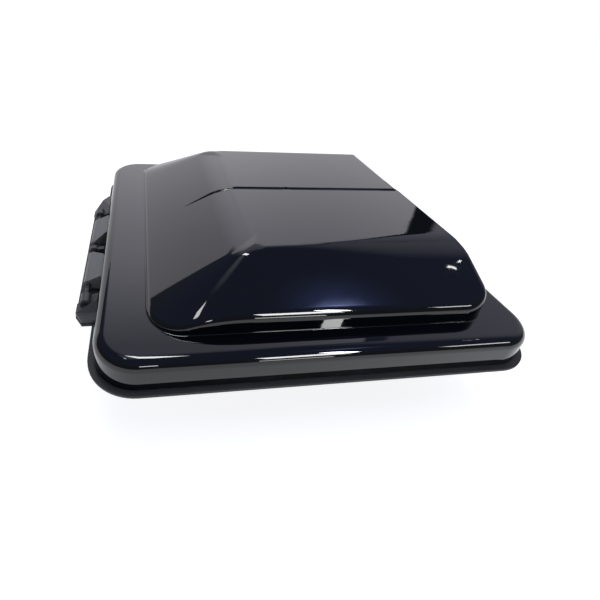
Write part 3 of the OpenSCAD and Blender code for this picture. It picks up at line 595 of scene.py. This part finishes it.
@dataclass
class LidShell:
    """The moulded lid: a brim with a rounded skirt and a wedge dome with a step across its crown.

    Args:
        half, corner, brim, foot, edge, wall: Skirt half width, plan radius, brim height, lower edge, edge
            rounding and wall thickness.
        left, right, side, plan: Dome limits towards the hinge, away from it and to both sides, and its plan
            radius.
        wall_h, step_l, crown, rise: Heights over the brim of the shoulder, of the hinge-side step and of the
            near crown, and the extra height of the far crown.
        ridge, crown_x, crown_near, crown_y: Crown limits towards the hinge, at the end of the far and of the
            near half, and to the far side.
        near_y: Crown limit to the near side, at the hinge side and at the end.
        draft: Tangent of the walls' draft.
        tight: Plan radius of the far corner on the hinge side.
        full, full_far, blunt, fade: Fullness of the near and of the far hips, 2 for a round cone, how far
            their tips are blunted, and the fall over which their share fades in.
        shoulder, ridge_edge, top_edge, soft_edge, end_edge, base: Roundings of the edges; the crown's near
            edge goes from top_edge at the hinge side to soft_edge at the end.
        soft, blend: Where that change begins and ends along X, and the difference in fall over which it gives
            way to ridge_edge.
        riser, tail: Half width of the step across the crown, and where it fades out on the hinge-side slope.
        boss_x, boss_y, boss_h: Places and height of the screw bosses.
    """

    half: float = 215
    corner: float = 40
    brim: float = 33.5
    foot: float = 2.9
    edge: float = 11
    wall: float = 2.6
    left: float = -169.5
    right: float = 180
    side: float = 186
    plan: float = 38
    wall_h: float = 17
    step_l: float = 2
    crown: float = 55
    rise: float = 1.8
    ridge: float = -74
    crown_x: float = 157
    crown_near: float = 163
    crown_y: float = 126
    near_y: Pair = (131, 124)
    draft: float = 0.04
    tight: float = 15
    full: float = 3.5
    full_far: float = 4.5
    blunt: float = 6.0
    fade: float = 3.0
    shoulder: float = 5.0
    ridge_edge: float = 10.0
    top_edge: float = 2.0
    soft_edge: float = 11.0
    end_edge: float = 8.0
    base: float = 0.8
    riser: float = 0.7
    tail: Pair = (-128, -78)
    soft: Pair = (-40, 110)
    blend: float = 18.0
    boss_x: Pair = (-64.0, -44.0)
    boss_y: float = 113.5
    boss_h: float = 7.0
    ring: Ring = field(default_factory=Ring)

    @property
    def middle(self) -> float:
        """Middle of the dome along X."""
        return (self.left + self.right) / 2

    @property
    def reach(self) -> float:
        """Half length of the dome along X."""
        return (self.right - self.left) / 2

    def slopes(self, x: Array, y: Array) -> tuple[tuple[Array, Array], ...]:
        """Height and steepness of the four slopes and the crown over a point in plan. Each slope is the
        straight line z0 + (u0 - u) k in its outward coordinate u; the far half is higher by
        rise (1 + tanh(y / riser)) / 2, on the hinge-side slope times a smooth step along the tail.

        Args:
            x, y: Points in plan.

        Returns:
            Pairs of height and steepness: hinge side, end, near, far, crown.
        """
        far = 0.5 + 0.5 * np.tanh(y / self.riser)
        top = self.crown + self.rise * far
        low, high = self.brim + self.step_l, self.brim + self.wall_h
        k_left = (self.crown - self.step_l) / (self.ridge - self.left)
        low = low + self.rise * far * smooth(x, self.tail)
        end = self.crown_near + (self.crown_x - self.crown_near) * far
        k_right = (top - self.wall_h) / (self.right - end)
        t = np.clip((x - self.ridge) / (self.crown_near - self.ridge), 0, 1)
        k_near = (top - self.wall_h) / (self.side - self.near_y[0] - (self.near_y[1] - self.near_y[0]) * t)
        k_far = (top - self.wall_h) / (self.side - self.crown_y)
        return ((low + (x - self.left) * k_left, k_left + 0 * top),
                (high + (self.right - x) * k_right, k_right),
                (high + (self.side + y) * k_near, k_near),
                (high + (self.side - y) * k_far, k_far),
                (self.brim + top, np.zeros_like(top)))

    def hips(self, falls: Array, full: Array) -> tuple[Array, Array]:
        """Fall below the crown where slopes with falls f meet in cones: with c for the blunting and n for
        the fullness, (sum of (f + c)^n)^(1/n) - c, negative terms counting as 0.

        Args:
            falls: Falls of the slopes, one row each.
            full: Fullness.

        Returns:
            The fall and its derivatives by each slope's own fall, which fade out where the largest f + c
            drops below fade.
        """
        part = np.maximum(falls + self.blunt, 0)
        whole = np.maximum((part ** full).sum(0) ** (1 / full), 1e-9)
        fall = np.where(part.max(0) > 0, whole - self.blunt, falls.max(0))
        return fall, (part / whole) ** (full - 1) * np.clip(part.max(0) / self.fade, 0, 1)

    def distance(self, p: Array) -> Array:
        """Distance to the filled lid: the slopes with their hips, rounded into the crown and the drafted
        footprint, and a filleted union with the brim.

        Args:
            p: Points.

        Returns:
            Distances, negative inside.
        """
        x, y, z = p[..., 0], p[..., 1], p[..., 2]
        left, right, near, far, top = self.slopes(x, y)
        falls = top[0] - np.array([left[0], np.minimum(near[0], far[0]), right[0]])
        fall, share = self.hips(falls, np.where(y > 0, self.full_far, self.full))
        steep = np.array([left[1], np.where(y < 0, near[1], far[1]), right[1]])
        slope = (z - top[0] + fall) / np.sqrt(1 + ((share * steep) ** 2).sum(0))
        edge = self.top_edge + (self.soft_edge - self.top_edge) * smooth(x, self.soft) * (y < 0)
        edge = edge + (self.ridge_edge - edge) * np.clip(0.5 + (falls[0] - falls[1]) / self.blend, 0, 1)
        roof = round_max(slope, z - top[0], edge + (self.end_edge - edge) * share[2])
        plan = np.where((x < self.middle) & (y > 0), self.tight, self.plan)
        prism = box_distance(x - self.middle, y, self.reach, self.side, plan)
        prism = (prism + self.draft * (z - self.brim)) / math.hypot(1, self.draft)
        dome = round_max(prism, roof, self.shoulder)
        slab = round_max(box_distance(x, y, self.half, self.half, self.corner), z - self.brim, self.edge)
        return round_min(slab, dome, self.base)

    def gradient(self, p: Array, h: float = 0.02) -> Array:
        """Gradient of the distance by central differences."""
        e = np.eye(3) * h
        return np.stack([self.distance(p + e[i]) - self.distance(p - e[i]) for i in range(3)], -1) / (2 * h)

    def normal(self, p: Array) -> Array:
        """Gradient brought to length 1."""
        g = self.gradient(p)
        return g / np.linalg.norm(g, axis=-1, keepdims=True)

    def settle(self, p: Array, level: float) -> Array:
        """Carries points along the gradient g until the distance d equals level: p - (d - level) g / |g|^2,
        in steps of limited length.

        Args:
            p: Starting points.
            level: Wanted distance.

        Returns:
            Points on the surface.
        """
        for _ in range(SETTLE_ROUNDS):
            g = self.gradient(p)
            step = ((self.distance(p) - level) / np.maximum((g * g).sum(-1), SETTLE_SLOPE))[..., None] * g
            length = np.linalg.norm(step, axis=-1, keepdims=True)
            p = p - step * np.minimum(1, SETTLE_STEP / np.maximum(length, 1e-9))
        return p

    def start(self) -> Array:
        """Rings over the sharp-edged lid: up the skirt, over its edge, across the brim, up the wall and
        inwards over the dome, each ring a walk round a rounded rectangle.

        Returns:
            Array of rows by points.
        """
        at = self.ring.at
        rows = [at(self.half, self.half, self.corner, z) for z in
                np.linspace(self.foot, self.brim - self.edge, 6)]
        for t in np.linspace(0, math.pi / 2, 10)[1:]:
            inset = self.edge * (1 - math.cos(t))
            rows.append(at(self.half - inset, self.half - inset, self.corner - inset,
                           self.brim - self.edge * (1 - math.sin(t))))
        outer = rows[-1]

        def plan(grow: float, z: Any) -> Array:
            """Walk round the dome's footprint, grown by a length, at height z."""
            return at(self.reach + grow, self.side + grow, self.plan + grow, z, self.middle)

        outsets = (3.2, 2.2, 1.3, 0.5)
        inner = plan(outsets[0], self.brim)
        rows += [outer + (inner - outer) * w for w in (0.05, 0.2, 0.4, 0.6, 0.8, 0.95, 1)]
        rows += [plan(g, self.brim) for g in outsets[1:]]
        rim = plan(0, 0)
        lip = np.min([h for h, _ in self.slopes(rim[:, 0], rim[:, 1])], axis=0)
        rows += [plan(0, self.brim + (lip - self.brim) * q)
                 for q in (0.05, 0.12, 0.25, 0.45, 0.65, 0.82, 0.93, 1)]
        core = np.array([self.middle, 0, 0])
        share = np.concatenate([[0.996, 0.992, 0.987, 0.98], np.linspace(0.97, 0.004, 92)])
        for s in share:
            q = core + (rim - core) * s
            q[:, 2] = np.min([h for h, _ in self.slopes(q[:, 0], q[:, 1])], axis=0)
            rows.append(q)
        return np.array(rows)

    def bosses(self) -> list[Patch]:
        """Four screw bosses under the crown, turned profiles with a flared root."""
        patches = []
        for x in self.boss_x:
            for y in (-self.boss_y, self.boss_y):
                top = self.brim + self.crown - self.wall + (self.rise if y > 0 else 0)
                foot = self.brim + self.crown - self.wall - self.boss_h
                profile = rounded_profile([(1.6, foot + 5, 0), (1.6, foot, 0.2), (5, foot, 0.5),
                                           (5, top - 0.2, 1.4), (8, top + 0.4, 0)])
                patches.append(revolve(profile, 32, (x, y, 0)))
        return patches

    def build(self, paint: Paint) -> bpy.types.Object:
        """Builds the closed shell: outer skin at distance 0, inner skin at minus the wall, and the lip.

        Args:
            paint: Materials.

        Returns:
            The lid.
        """
        outer = self.settle(self.start(), 0.0)
        normal = self.normal(outer)
        inner = self.settle(outer - self.wall * normal, -self.wall)
        lip = np.array([inner[0], outer[0]])
        down = np.zeros_like(lip) + np.array([0, 0, -1.0])
        lid = add_mesh("lid_skin", [Patch(outer, normals=normal),
                                    Patch(inner, flip=True, normals=-self.normal(inner)),
                                    Patch(lip, normals=down)])
        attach(paint.dress(lid, "lid_gloss"), "lid")
        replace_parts(lid, "lid_shell")
        bosses = add_mesh("lid_bosses", self.bosses())
        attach(paint.dress(bosses, "lid_gloss"), "lid")
        return lid


@dataclass
class BulbSeal:
    """The rubber seal clipped over the curb.

    Args:
        corner: Plan position of the corner centres.
        line: Distance of the curb's middle from them.
        curb: Height of the curb's top.
        height: Height of the bulb.
    """

    corner: float = 175
    line: float = 23
    curb: float = 24.7
    height: float = 6.0

    def build(self, paint: Paint) -> bpy.types.Object:
        """Sweeps a clip-and-bulb section, alike on both sides, round the curb: each section point (u, v)
        becomes a ring at offset u and height v."""
        c, h = self.curb, self.height
        half = [(-2.05, c, 0), (-2.05, c - 4, 0.1), (-3.9, c - 4, 0.8), (-3.9, c + 0.6, 1.2),
                (-2.6, c + 1.2, 0.6), (-3.1, c + h, 2.9)]
        section = rounded_profile(half + [(-u, v, cut) for u, v, cut in reversed(half)], 6)
        ring = Ring(2, 2, 14, 1.0)
        rows = [ring.at(self.corner + self.line + u, self.corner + self.line + u, self.line + u, v)
                for u, v in section]
        seal = add_mesh("seal_bulb", [Patch(np.array(rows), flip=True)])
        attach(paint.dress(seal, "seal_rubber"), "base")
        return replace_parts(seal, "curb_seal")


@dataclass
class InsectScreen:
    """The woven insect mesh in its ring.

    Args:
        radius: Outer radius of the ring.
        z: Height of the cloth's middle.
        pitch: Spacing of the wires.
        wire: Wire radius.
        rim, above, below: Width of the ring, and how far it stands over and under the cloth's middle.
    """

    radius: float = 147
    z: float = -42.55
    pitch: float = 3.0
    wire: float = 0.19
    rim: float = 4.0
    above: float = 0.38
    below: float = 0.42

    def wires(self, along: int) -> Patch:
        """One direction of the weave, out to the middle of the ring: z = wire sin(pi u / pitch +
        pi (k + 1/2)) for wire number k, the second direction with the opposite sign.

        Args:
            along: 0 for wires along X, 1 for wires along Y.

        Returns:
            A batch of wires.
        """
        k = np.arange(-int(self.radius / self.pitch) + 1, int(self.radius / self.pitch))
        across = k * self.pitch
        reach = np.sqrt((self.radius - self.rim / 2) ** 2 - across ** 2)
        u = np.linspace(-1, 1, 2 * len(k))[None, :] * reach[:, None]
        sign = 1 - 2 * along
        z = self.z + sign * self.wire * np.sin(math.pi * u / self.pitch + math.pi * (k[:, None] + 0.5))
        v = np.repeat(across[:, None], u.shape[1], 1)
        path = np.stack([u, v, z] if along == 0 else [v, u, z], -1)
        side = np.array([0, 1.0, 0]) if along == 0 else np.array([1.0, 0, 0])
        return tubes(path, side, np.array([0, 0, 1.0]), self.wire)

    def build(self, paint: Paint) -> None:
        """Builds the rim with both directions of wires."""
        inner, low, high = self.radius - self.rim, self.z - self.below, self.z + self.above
        rim = rounded_profile([(inner, high, 0), (inner, low, 0.2), (self.radius, low, 0.2),
                               (self.radius, high, 0.2), (inner, high, 0)])
        warp = add_mesh("screen_warp", [self.wires(0), revolve(rim, 180)])
        weft = add_mesh("screen_weft", [self.wires(1)])
        for obj in (warp, weft):
            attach(paint.dress(obj, "screen_black"), "base")
        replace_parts(warp, "screen_mesh")


@dataclass
class FanRotor:
    """The axial fan: a cup hub with ribs and twisted, cambered blades.

    Args:
        tip, hub, hub_h, z: Tip radius, hub radius, hub height and the hub's lower edge.
        blades: Number of blades.
        chord: Chord at the hub and at the tip.
        pitch: Blade angle at the hub and at the tip, in degrees.
        thick, camber: Blade thickness and height of the camber.
        sink: How far the blades reach into the hub.
        bore, boss, skin: Radii of the shaft hole and of the boss round it, and thickness of the cup's wall.
    """

    tip: float = 145
    hub: float = 32
    hub_h: float = 24
    z: float = -35
    blades: int = 6
    chord: Pair = (40, 68)
    pitch: Pair = (34, 18)
    thick: float = 2.0
    camber: float = 5.0
    sink: float = 3
    bore: float = 3.06
    boss: float = 8
    skin: float = 2.5

    def blade_set(self) -> Patch:
        """All blades: over span f and section angle t the chord position is g = -cos(t) / 2, a little
        shorter at the tip, and the height camber (1/2 - 4 g^2) plus about half the thickness times
        sin t |sin t|^0.2, thinning to the tip; the section turns with the span and is wrapped round the axis.

        Returns:
            A batch of closed sections.
        """
        rounded = 0.03
        f = np.concatenate([np.linspace(0, 1 - rounded, 22), [0.985, 0.995, 1.0]])[:, None]
        t = np.linspace(0, TAU, 36, endpoint=False)[None, :]
        tip = np.sqrt(np.clip((1 - f) / rounded, 0.02, 1))
        g = -0.5 * np.cos(t) * (0.96 + 0.04 * tip)
        root = self.hub - self.sink
        r = root + (self.tip - root) * f
        c = self.chord[0] + (self.chord[1] - self.chord[0]) * f
        p = np.radians(self.pitch[0] + (self.pitch[1] - self.pitch[0]) * f)
        bulge = np.sin(t) * np.abs(np.sin(t)) ** 0.2
        h = self.camber * (0.5 - 4 * g * g) + 0.52 * self.thick * bulge * tip
        u = c * g
        a = (u * np.cos(p) - h * np.sin(p)) / r
        turn = np.arange(self.blades)[:, None, None] * TAU / self.blades
        height = u * np.sin(p) + h * np.cos(p) + self.z + self.hub_h / 2
        height = np.broadcast_to(height, (self.blades, *a.shape))
        return Patch(np.stack([r * np.cos(a + turn), r * np.sin(a + turn), height], -1), flip=True)

    def build(self, paint: Paint) -> bpy.types.Object:
        """Builds hub, ribs and blades as one piece."""
        z0, z1 = self.z, self.z + self.hub_h
        inner, roof = self.hub - self.skin, z1 - 3
        cup = rounded_profile([(self.bore, z1, 0), (self.hub, z1, 2.0), (self.hub, z0, 0.6), (inner, z0, 0.6),
                               (inner, roof, 1.5), (self.boss, roof, 1.0), (self.boss, z0, 0.6),
                               (self.bore, z0, 0)])
        ribs = []
        base = block(self.boss + 0.2, inner - 0.2, -0.8, 0.8, z0 + 4, roof + 0.1).points
        for k in range(self.blades):
            a = (k + 0.5) * TAU / self.blades
            spin = np.array([[math.cos(a), math.sin(a), 0], [-math.sin(a), math.cos(a), 0], [0, 0, 1]])
            ribs.append(Patch(base @ spin))
        fan = add_mesh("fan_blades", [self.blade_set(), revolve(cup, 96), *ribs])
        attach(paint.dress(fan, "fan_white"), "fan")
        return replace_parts(fan, "fan_rotor")


@dataclass
class Knob:
    """A turned knob whose radius varies round it.

    Args:
        name: Name of the piece.
        at: Middle of its lower face.
        profile: Softened outline of (radius, height, cut-back).
        body: CAD body it rides on.
        node: CAD node it stands for.
        lobes, per_lobe: Number of flutes and points round each.
        depth, sharp, rim: Depth and sharpness of the flutes, and the radius at which they have that depth.
    """

    name: str
    at: Triple
    profile: list[Triple]
    body: str
    node: str
    lobes: int
    per_lobe: int
    depth: float
    sharp: float
    rim: float

    def build(self, paint: Paint, extra: Sequence[Patch] = ()) -> bpy.types.Object:
        """Turns the profile with r(a) = r - depth w ((1 + cos(lobes a)) / 2)^sharp, where w is the cube of
        r / rim.

        Args:
            paint: Materials.
            extra: Further patches of the piece.

        Returns:
            The knob.
        """
        grid = revolve(rounded_profile(self.profile, 6), self.per_lobe * self.lobes)
        r = np.hypot(grid.points[..., 0], grid.points[..., 1])
        a = np.arctan2(grid.points[..., 1], grid.points[..., 0])
        flute = ((1 - np.cos(self.lobes * a + math.pi)) / 2) ** self.sharp
        scale = 1 - self.depth * flute * (r / self.rim) ** 3 / np.maximum(r, 1e-3)
        grid.points[..., :2] *= scale[..., None]
        grid.points += np.array(self.at, float)
        knob = add_mesh(self.name, [grid, *extra], 50)
        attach(paint.dress(knob, "knob_black"), self.body)
        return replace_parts(knob, self.node)


@dataclass
class WormShaft:
    """The crank shaft with its worm thread.

    Args:
        at: Axis position in plan.
        low, high: Ends of the shaft.
        core: Shaft radius.
        mid, turns, pitch: Middle of the thread, its number of turns and its pitch.
        root, crest: Radii of the thread.
    """

    at: Pair = CRANK_AXIS
    low: float = -66
    high: float = 35.39
    core: float = 3.0
    mid: float = 17.973
    turns: float = 4
    pitch: float = 4.712
    root: float = 4.8
    crest: float = 7.15

    def build(self, paint: Paint) -> bpy.types.Object:
        """Thread surface r(a, z) = root + (crest - root) s, where s is a softened square wave of the phase
        a / 2 pi - z / pitch, faded at both ends."""
        half = self.turns * self.pitch / 2
        z = np.linspace(-half, half, 120)[:, None]
        a = np.linspace(0, TAU, 48, endpoint=False)[None, :]
        wave = np.cos(a - TAU * z / self.pitch)
        steep, shift, run_out = 2.2, 0.1, 0.8
        s = 0.5 + 0.5 * np.tanh(steep * (wave - shift))
        fade = np.clip((half - np.abs(z)) / run_out, 0, 1)
        r = self.core + (self.root + (self.crest - self.root) * s - self.core) * np.sqrt(fade)
        grid = np.stack([r * np.cos(a), r * np.sin(a), np.broadcast_to(z + self.mid, r.shape)], -1)
        bar = rounded_profile([(0.05, self.low, 0), (self.core, self.low, 0.5), (self.core, self.high, 0.5),
                               (0.05, self.high, 0)])
        where = np.array([*self.at, 0.0])
        shaft = add_mesh("worm_thread", [Patch(grid + where), revolve(bar, 40, (*self.at, 0.0))])
        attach(paint.dress(shaft, "steel_rod"), "crank")
        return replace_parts(shaft, "worm_shaft")


@dataclass
class CadDress:
    """Finishes for the CAD nodes that show as they are.

    Args:
        nodes: Names of the nodes by finish.
    """

    nodes: dict[str, tuple[str, ...]] = field(default_factory=lambda: {
        "base_plastic": ("base_frame", "fan_shroud", "screen_frame"),
        "hinge_plastic": ("hinge_brackets", "hinge_rib"),
        # The lugs take the paler copy of the hinge plastic, a painted sheen.
        "hinge_lug_painted_sheen": ("hinge_lugs",),
        "zinc_screw": ("bracket_screws", "lug_screws", "track_screws", "knob_screw", "frame_screws",
                       "shroud_screws", "bracket_bolts", "motor_bolts", "rotor_nut", "screen_screws"),
        "rod_black": ("hinge_rod",),
        "zinc_plate": ("lift_tracks", "lift_arms", "operator_frame", "bearing_frame", "motor_bracket"),
        "steel_rod": ("lift_shaft", "motor_shaft"),
        "roller_nylon": ("arm_rollers",),
        "wheel_brass": ("worm_wheel",),
        "motor_steel": ("motor_can",),
        "knob_black": ("motor_endcap", "speed_switch", "rocker_bezel", "rocker")})

    def build(self, paint: Paint) -> None:
        """Dresses every listed node."""
        for finish, nodes in self.nodes.items():
            for node in nodes:
                paint.dress(frame["nodes"][node], finish)
                log.info("%s: %s", node, finish)


# Stage

@dataclass
class Lamp:
    """An area lamp.

    Args:
        name: Name.
        at: Position in metres.
        aim: Point it faces, in metres.
        size: Width and height in metres.
        watts: Power.
        mirrored: Whether it is seen only in polished surfaces, or else only lights dull ones.
    """

    name: str
    at: Triple
    aim: Triple
    size: Pair
    watts: float
    mirrored: bool = False

    @classmethod
    def glint(cls, name: str, point: Triple, way: Triple, angle: Pair, glow: float) -> "Lamp":
        """A lamp whose mirror image lies at a point of the lid.

        Args:
            name: Name.
            point: The point, in millimetres.
            way: Direction from there.
            angle: Width and height in radians.
            glow: Radiance; the power is that times pi times the area.

        Returns:
            The lamp.
        """
        near = Vector(point) * MM
        at = near + Vector(way).normalized() * GLINT_FAR
        size = (angle[0] * GLINT_FAR, angle[1] * GLINT_FAR)
        return cls(name, tuple(at), tuple(near), size, glow * math.pi * size[0] * size[1], mirrored=True)

    def build(self) -> None:
        """Makes the lamp."""
        data = bpy.data.lights.new(self.name, "AREA")
        data.shape = "RECTANGLE"
        data.size, data.size_y = self.size
        data.energy = self.watts
        obj = link(self.name, data)
        obj.location = self.at
        obj.rotation_mode = "QUATERNION"
        obj.rotation_quaternion = (Vector(self.aim) - Vector(self.at)).to_track_quat("-Z", "Y")
        obj.visible_camera = False
        obj.visible_glossy = self.mirrored
        obj.visible_diffuse = not self.mirrored


@dataclass
class Studio:
    """Floor, surroundings, lamps and camera.

    Args:
        floor_z: Height of the floor in metres.
        eye: Camera position in metres.
        yaw, pitch, roll: Camera angles in degrees: towards +X from +Y, downwards, and about the view axis.
        focal: Focal length in image widths.
        centre: Principal point as shares of the image, from the top left.
        reach: Half width of the floor in metres.
        wall_end, side_start: Where the pale wall ends and the grey side begins, in degrees from +Y to +X.
        along, across, facing: Directions along and across the blue glow, and towards it.
    """

    floor_z: float = -0.0735
    eye: Triple = (-0.17132, -0.44243, 0.29822)
    yaw: float = 11.669
    pitch: float = 31.187
    roll: float = 5.706
    focal: float = 408.56 / 600
    centre: Pair = (214.28 / 600, 232.82 / 600)
    reach: float = 9.0
    wall_end: float = 39.6
    side_start: float = 42.4
    along: Triple = (0.865, 0.390, -0.314)
    across: Triple = (-0.228, 0.865, 0.446)
    facing: Triple = (0.445, -0.315, 0.838)
    lamps: tuple[Lamp, ...] = (
        Lamp("fill_top", (0.1, 0.0, 1.5), (0, 0, 0), (1.6, 1.6), 9.0),
        Lamp("fill_front", (-0.6, -1.4, 0.7), (0, 0, 0), (1.2, 0.9), 5.0),
        Lamp.glint("over_crown", (-77, -133, 85), (-0.08, 0.17, 0.98), (0.12, 0.50), 20),
        Lamp.glint("over_hip", (-124, -177, 51), (-0.335, -0.05, 0.94), (0.09, 0.05), 12),
        Lamp.glint("window", (5, -183, 52), (0.435, -0.70, 0.58), (0.05, 0.20), 110),
        Lamp.glint("strip_high", (-30, -183, 52), (0.355, -0.825, 0.44), (0.24, 0.20), 22),
        Lamp.glint("strip_low", (-40, -183, 52), (0.34, -0.935, 0.10), (0.21, 0.10), 8),
        Lamp.glint("right_low", (138, -212, 30), (0.66, -0.61, 0.43), (0.17, 0.08), 13),
        Lamp.glint("hook_a", (138, -149, 73), (0.656, -0.141, 0.742), (0.007, 0.022), 18),
        Lamp.glint("hook_b", (151, -144, 77), (0.669, -0.110, 0.735), (0.026, 0.006), 18),
        Lamp.glint("left_low", (-166, -213, 29), (0.012, -0.92, 0.39), (0.05, 0.10), 14),
    )

    def camera(self) -> None:
        """Camera from its angles: forward (sin yaw cos pitch, cos yaw cos pitch, -sin pitch), turned about
        itself by roll, with the principal point set by the lens shift."""
        yaw, pitch, roll = (math.radians(v) for v in (self.yaw, self.pitch, self.roll))
        ahead = Vector((math.sin(yaw) * math.cos(pitch), math.cos(yaw) * math.cos(pitch), -math.sin(pitch)))
        right = Vector((math.cos(yaw), -math.sin(yaw), 0))
        up = right.cross(ahead)
        turned = math.cos(roll) * right + math.sin(roll) * up
        above = math.cos(roll) * up - math.sin(roll) * right
        data = bpy.data.cameras.new("camera")
        data.sensor_width = SENSOR
        data.lens = SENSOR * self.focal
        data.shift_x = 0.5 - self.centre[0]
        data.shift_y = self.centre[1] - 0.5
        data.clip_start = 0.01
        cam = link("camera", data)
        axes = Matrix((turned, above, -ahead)).transposed().to_4x4()
        cam.matrix_world = Matrix.Translation(self.eye) @ axes
        bpy.context.scene.camera = cam

    def floor(self) -> None:
        """Pale floor that keeps a light shadow, shows white to the camera and is clear from below."""
        s = self.reach
        grid = np.array([[(-s, -s), (s, -s)], [(-s, s), (s, s)]]) / MM
        points = np.concatenate([grid, np.full((2, 2, 1), self.floor_z / MM)], -1)
        obj = add_mesh("floor", [Patch(points, closed=False)])
        mat = bpy.data.materials.new("floor")
        mat.use_nodes = True
        g = Graph(mat.node_tree)
        path = g.add("ShaderNodeLightPath").outputs
        seen = g.math("MAXIMUM", path["Is Camera Ray"], g.math("MAXIMUM", path["Is Glossy Ray"],
                                                              path["Is Transmission Ray"]))
        plain = g.add("ShaderNodeBsdfDiffuse", {"Color": (0.8, 0.8, 0.8, 1)})
        faint = g.add("ShaderNodeBsdfDiffuse", {"Color": (0.55, 0.55, 0.55, 1)})
        white = g.add("ShaderNodeEmission", {"Color": (1, 1, 1, 1), "Strength": 0.82})
        both = g.add("ShaderNodeAddShader", {0: faint.outputs[0], 1: white.outputs[0]})
        shown = g.add("ShaderNodeMixShader", {0: seen, 1: plain.outputs[0], 2: both.outputs[0]})
        clear = g.add("ShaderNodeBsdfTransparent")
        back = g.add("ShaderNodeNewGeometry").outputs["Backfacing"]
        out = g.add("ShaderNodeMixShader", {0: back, 1: shown.outputs[0], 2: clear.outputs[0]})
        g.add("ShaderNodeOutputMaterial", {"Surface": out.outputs[0]})
        obj.data.materials.append(mat)

    def spot(self, g: Graph, r: Any, wide: float, high: float) -> bpy.types.NodeSocket:
        """Blue glow low on the near slope: (1 - d)^2, where d is the length of (u / wide, v / high) and u and
        v are measured along and across the shoulder, on the side that it faces.

        Args:
            g: Graph to add to.
            r: Direction.
            wide, high: Reach along and across the shoulder.

        Returns:
            Value between 0 and 1.
        """
        u = g.math("DIVIDE", g.dot(r, self.along), wide)
        v = g.math("DIVIDE", g.dot(r, self.across), high)
        square = g.math("ADD", g.product(u, u), g.product(v, v))
        fade = g.math("POWER", g.math("SUBTRACT", 1.0, g.math("SQRT", square), clamp=True), 2.0)
        return g.product(fade, g.math("GREATER_THAN", g.dot(r, self.facing), 0.5))

    def world(self) -> None:
        """Surroundings by direction r: a bright pale wall beyond the object with a slanted left edge and an
        upright right edge, fading upwards into a dark navy ceiling, a dark gap and a grey side on the right,
        a blue glow towards the front and a soft greenish one overhead; white to the camera."""
        world = bpy.data.worlds.new("studio")
        world.use_nodes = True
        bpy.context.scene.world = world
        g = Graph(world.node_tree)
        r = g.add("ShaderNodeTexCoord").outputs["Generated"]
        up = g.dot(r, (0, 0, 1))
        across = g.dot(r, (1, 0, 0))
        left = g.ramp(g.dot(r, (0.261, 0.584, -0.769)), -0.008, 0.006)
        a, b = math.radians(self.wall_end), math.radians(self.side_start)
        right = g.ramp(g.dot(r, (-math.cos(a), math.sin(a), 0)), -0.004, 0.004)
        wall = g.product(g.math("MAXIMUM", left, g.ramp(across, -0.30, -0.14)), right,
                         g.ramp(up, 0.56, 0.86, 1.5, 0.0), g.ramp(across, -0.42, 0.05, 0.68, 1.0),
                         g.ramp(across, 0.08, 0.48, 1.0, 0.72))
        overhead = g.dot(r, Vector((0.0, 0.68, 0.73)).normalized())
        glow = g.product(g.ramp(overhead, 0.86, 1.0, 0.0, 0.6), g.ramp(across, -0.36, -0.2), right)
        beyond = g.ramp(g.dot(r, (math.cos(b), -math.sin(b), 0)), -0.004, 0.01)
        turned = g.dot(r, Vector((0.75, 0.45, 0.45)).normalized())
        side = g.product(g.ramp(turned, 0.80, 0.97, 0.0, 0.4), beyond)
        dark = g.product(g.math("SUBTRACT", 1.0, right), g.math("SUBTRACT", 1.0, beyond),
                         g.ramp(up, 0.5, 0.7, 0.8, 0.0))
        pale = g.math("MAXIMUM", g.math("MAXIMUM", wall, glow), side)
        base = g.mix(g.ramp(up, 0.2, 0.7), (0.13, 0.13, 0.14), (0.14, 0.175, 0.30))
        halo, core = (self.spot(g, r, *size) for size in ((0.17, 0.11), (0.09, 0.036)))
        soft = g.dot(r, Vector((-0.15, 0.15, 0.977)).normalized())
        total = g.scaled(base, g.math("SUBTRACT", 1.0, dark))
        for colour, amount in (((1.0, 0.98, 1.04), pale), ((0.45, 0.65, 1.9), halo),
                               ((4.2, 5.0, 8.5), core), ((0.65, 0.8, 0.8), g.ramp(soft, 0.972, 0.999))):
            total = g.vector("ADD", total, g.scaled(colour, amount))
        room = g.add("ShaderNodeBackground", {"Color": total, "Strength": 1.0})
        white = g.add("ShaderNodeBackground", {"Color": (1, 1, 1, 1), "Strength": 1.0})
        path = g.add("ShaderNodeLightPath").outputs
        seen = g.math("MAXIMUM", path["Is Camera Ray"], path["Is Transmission Ray"])
        mixed = g.add("ShaderNodeMixShader", {0: seen, 1: room.outputs[0], 2: white.outputs[0]})
        g.add("ShaderNodeOutputWorld", {"Surface": mixed.outputs[0]})

    def build(self) -> None:
        """Sets up the whole stage."""
        bpy.context.scene.view_settings.view_transform = "Standard"
        self.world()
        self.floor()
        for lamp in self.lamps:
            lamp.build()
        self.camera()


def pointer() -> Patch:
    """Raised bar on the lower face of the speed knob."""
    return block(128.0, 132.0, -130.0, -116.6, -66.0, -62.0)


def build_vent() -> None:
    """Builds the whole picture."""
    paint = Paint(EffectLibrary())
    LidShell().build(paint)
    BulbSeal().build(paint)
    InsectScreen().build(paint)
    FanRotor().build(paint)
    WormShaft().build(paint)
    Knob("crank_grip", (*CRANK_AXIS, -70),
         [(3.8, 3, 0), (3.8, 0, 0.4), (22, 0, 1.5), (24, 3, 1.5), (24, 15, 1.5), (10, 20, 1.5),
          (3.06, 20, 0)],
         "crank", "crank_knob", 6, 24, 4.0, 2.2, 24.0).build(paint)
    Knob("speed_grip", (130, -130, -63),
         [(0.05, 0, 0), (13.5, 0, 0.8), (15, 14, 0.8), (3.06, 14, 0)],
         "speed", "speed_knob", 16, 10, 0.9, 3.0, 15.0).build(paint, [pointer()])
    CadDress().build(paint)
    Studio().build()


if __name__ == "__main__":
    build_vent()
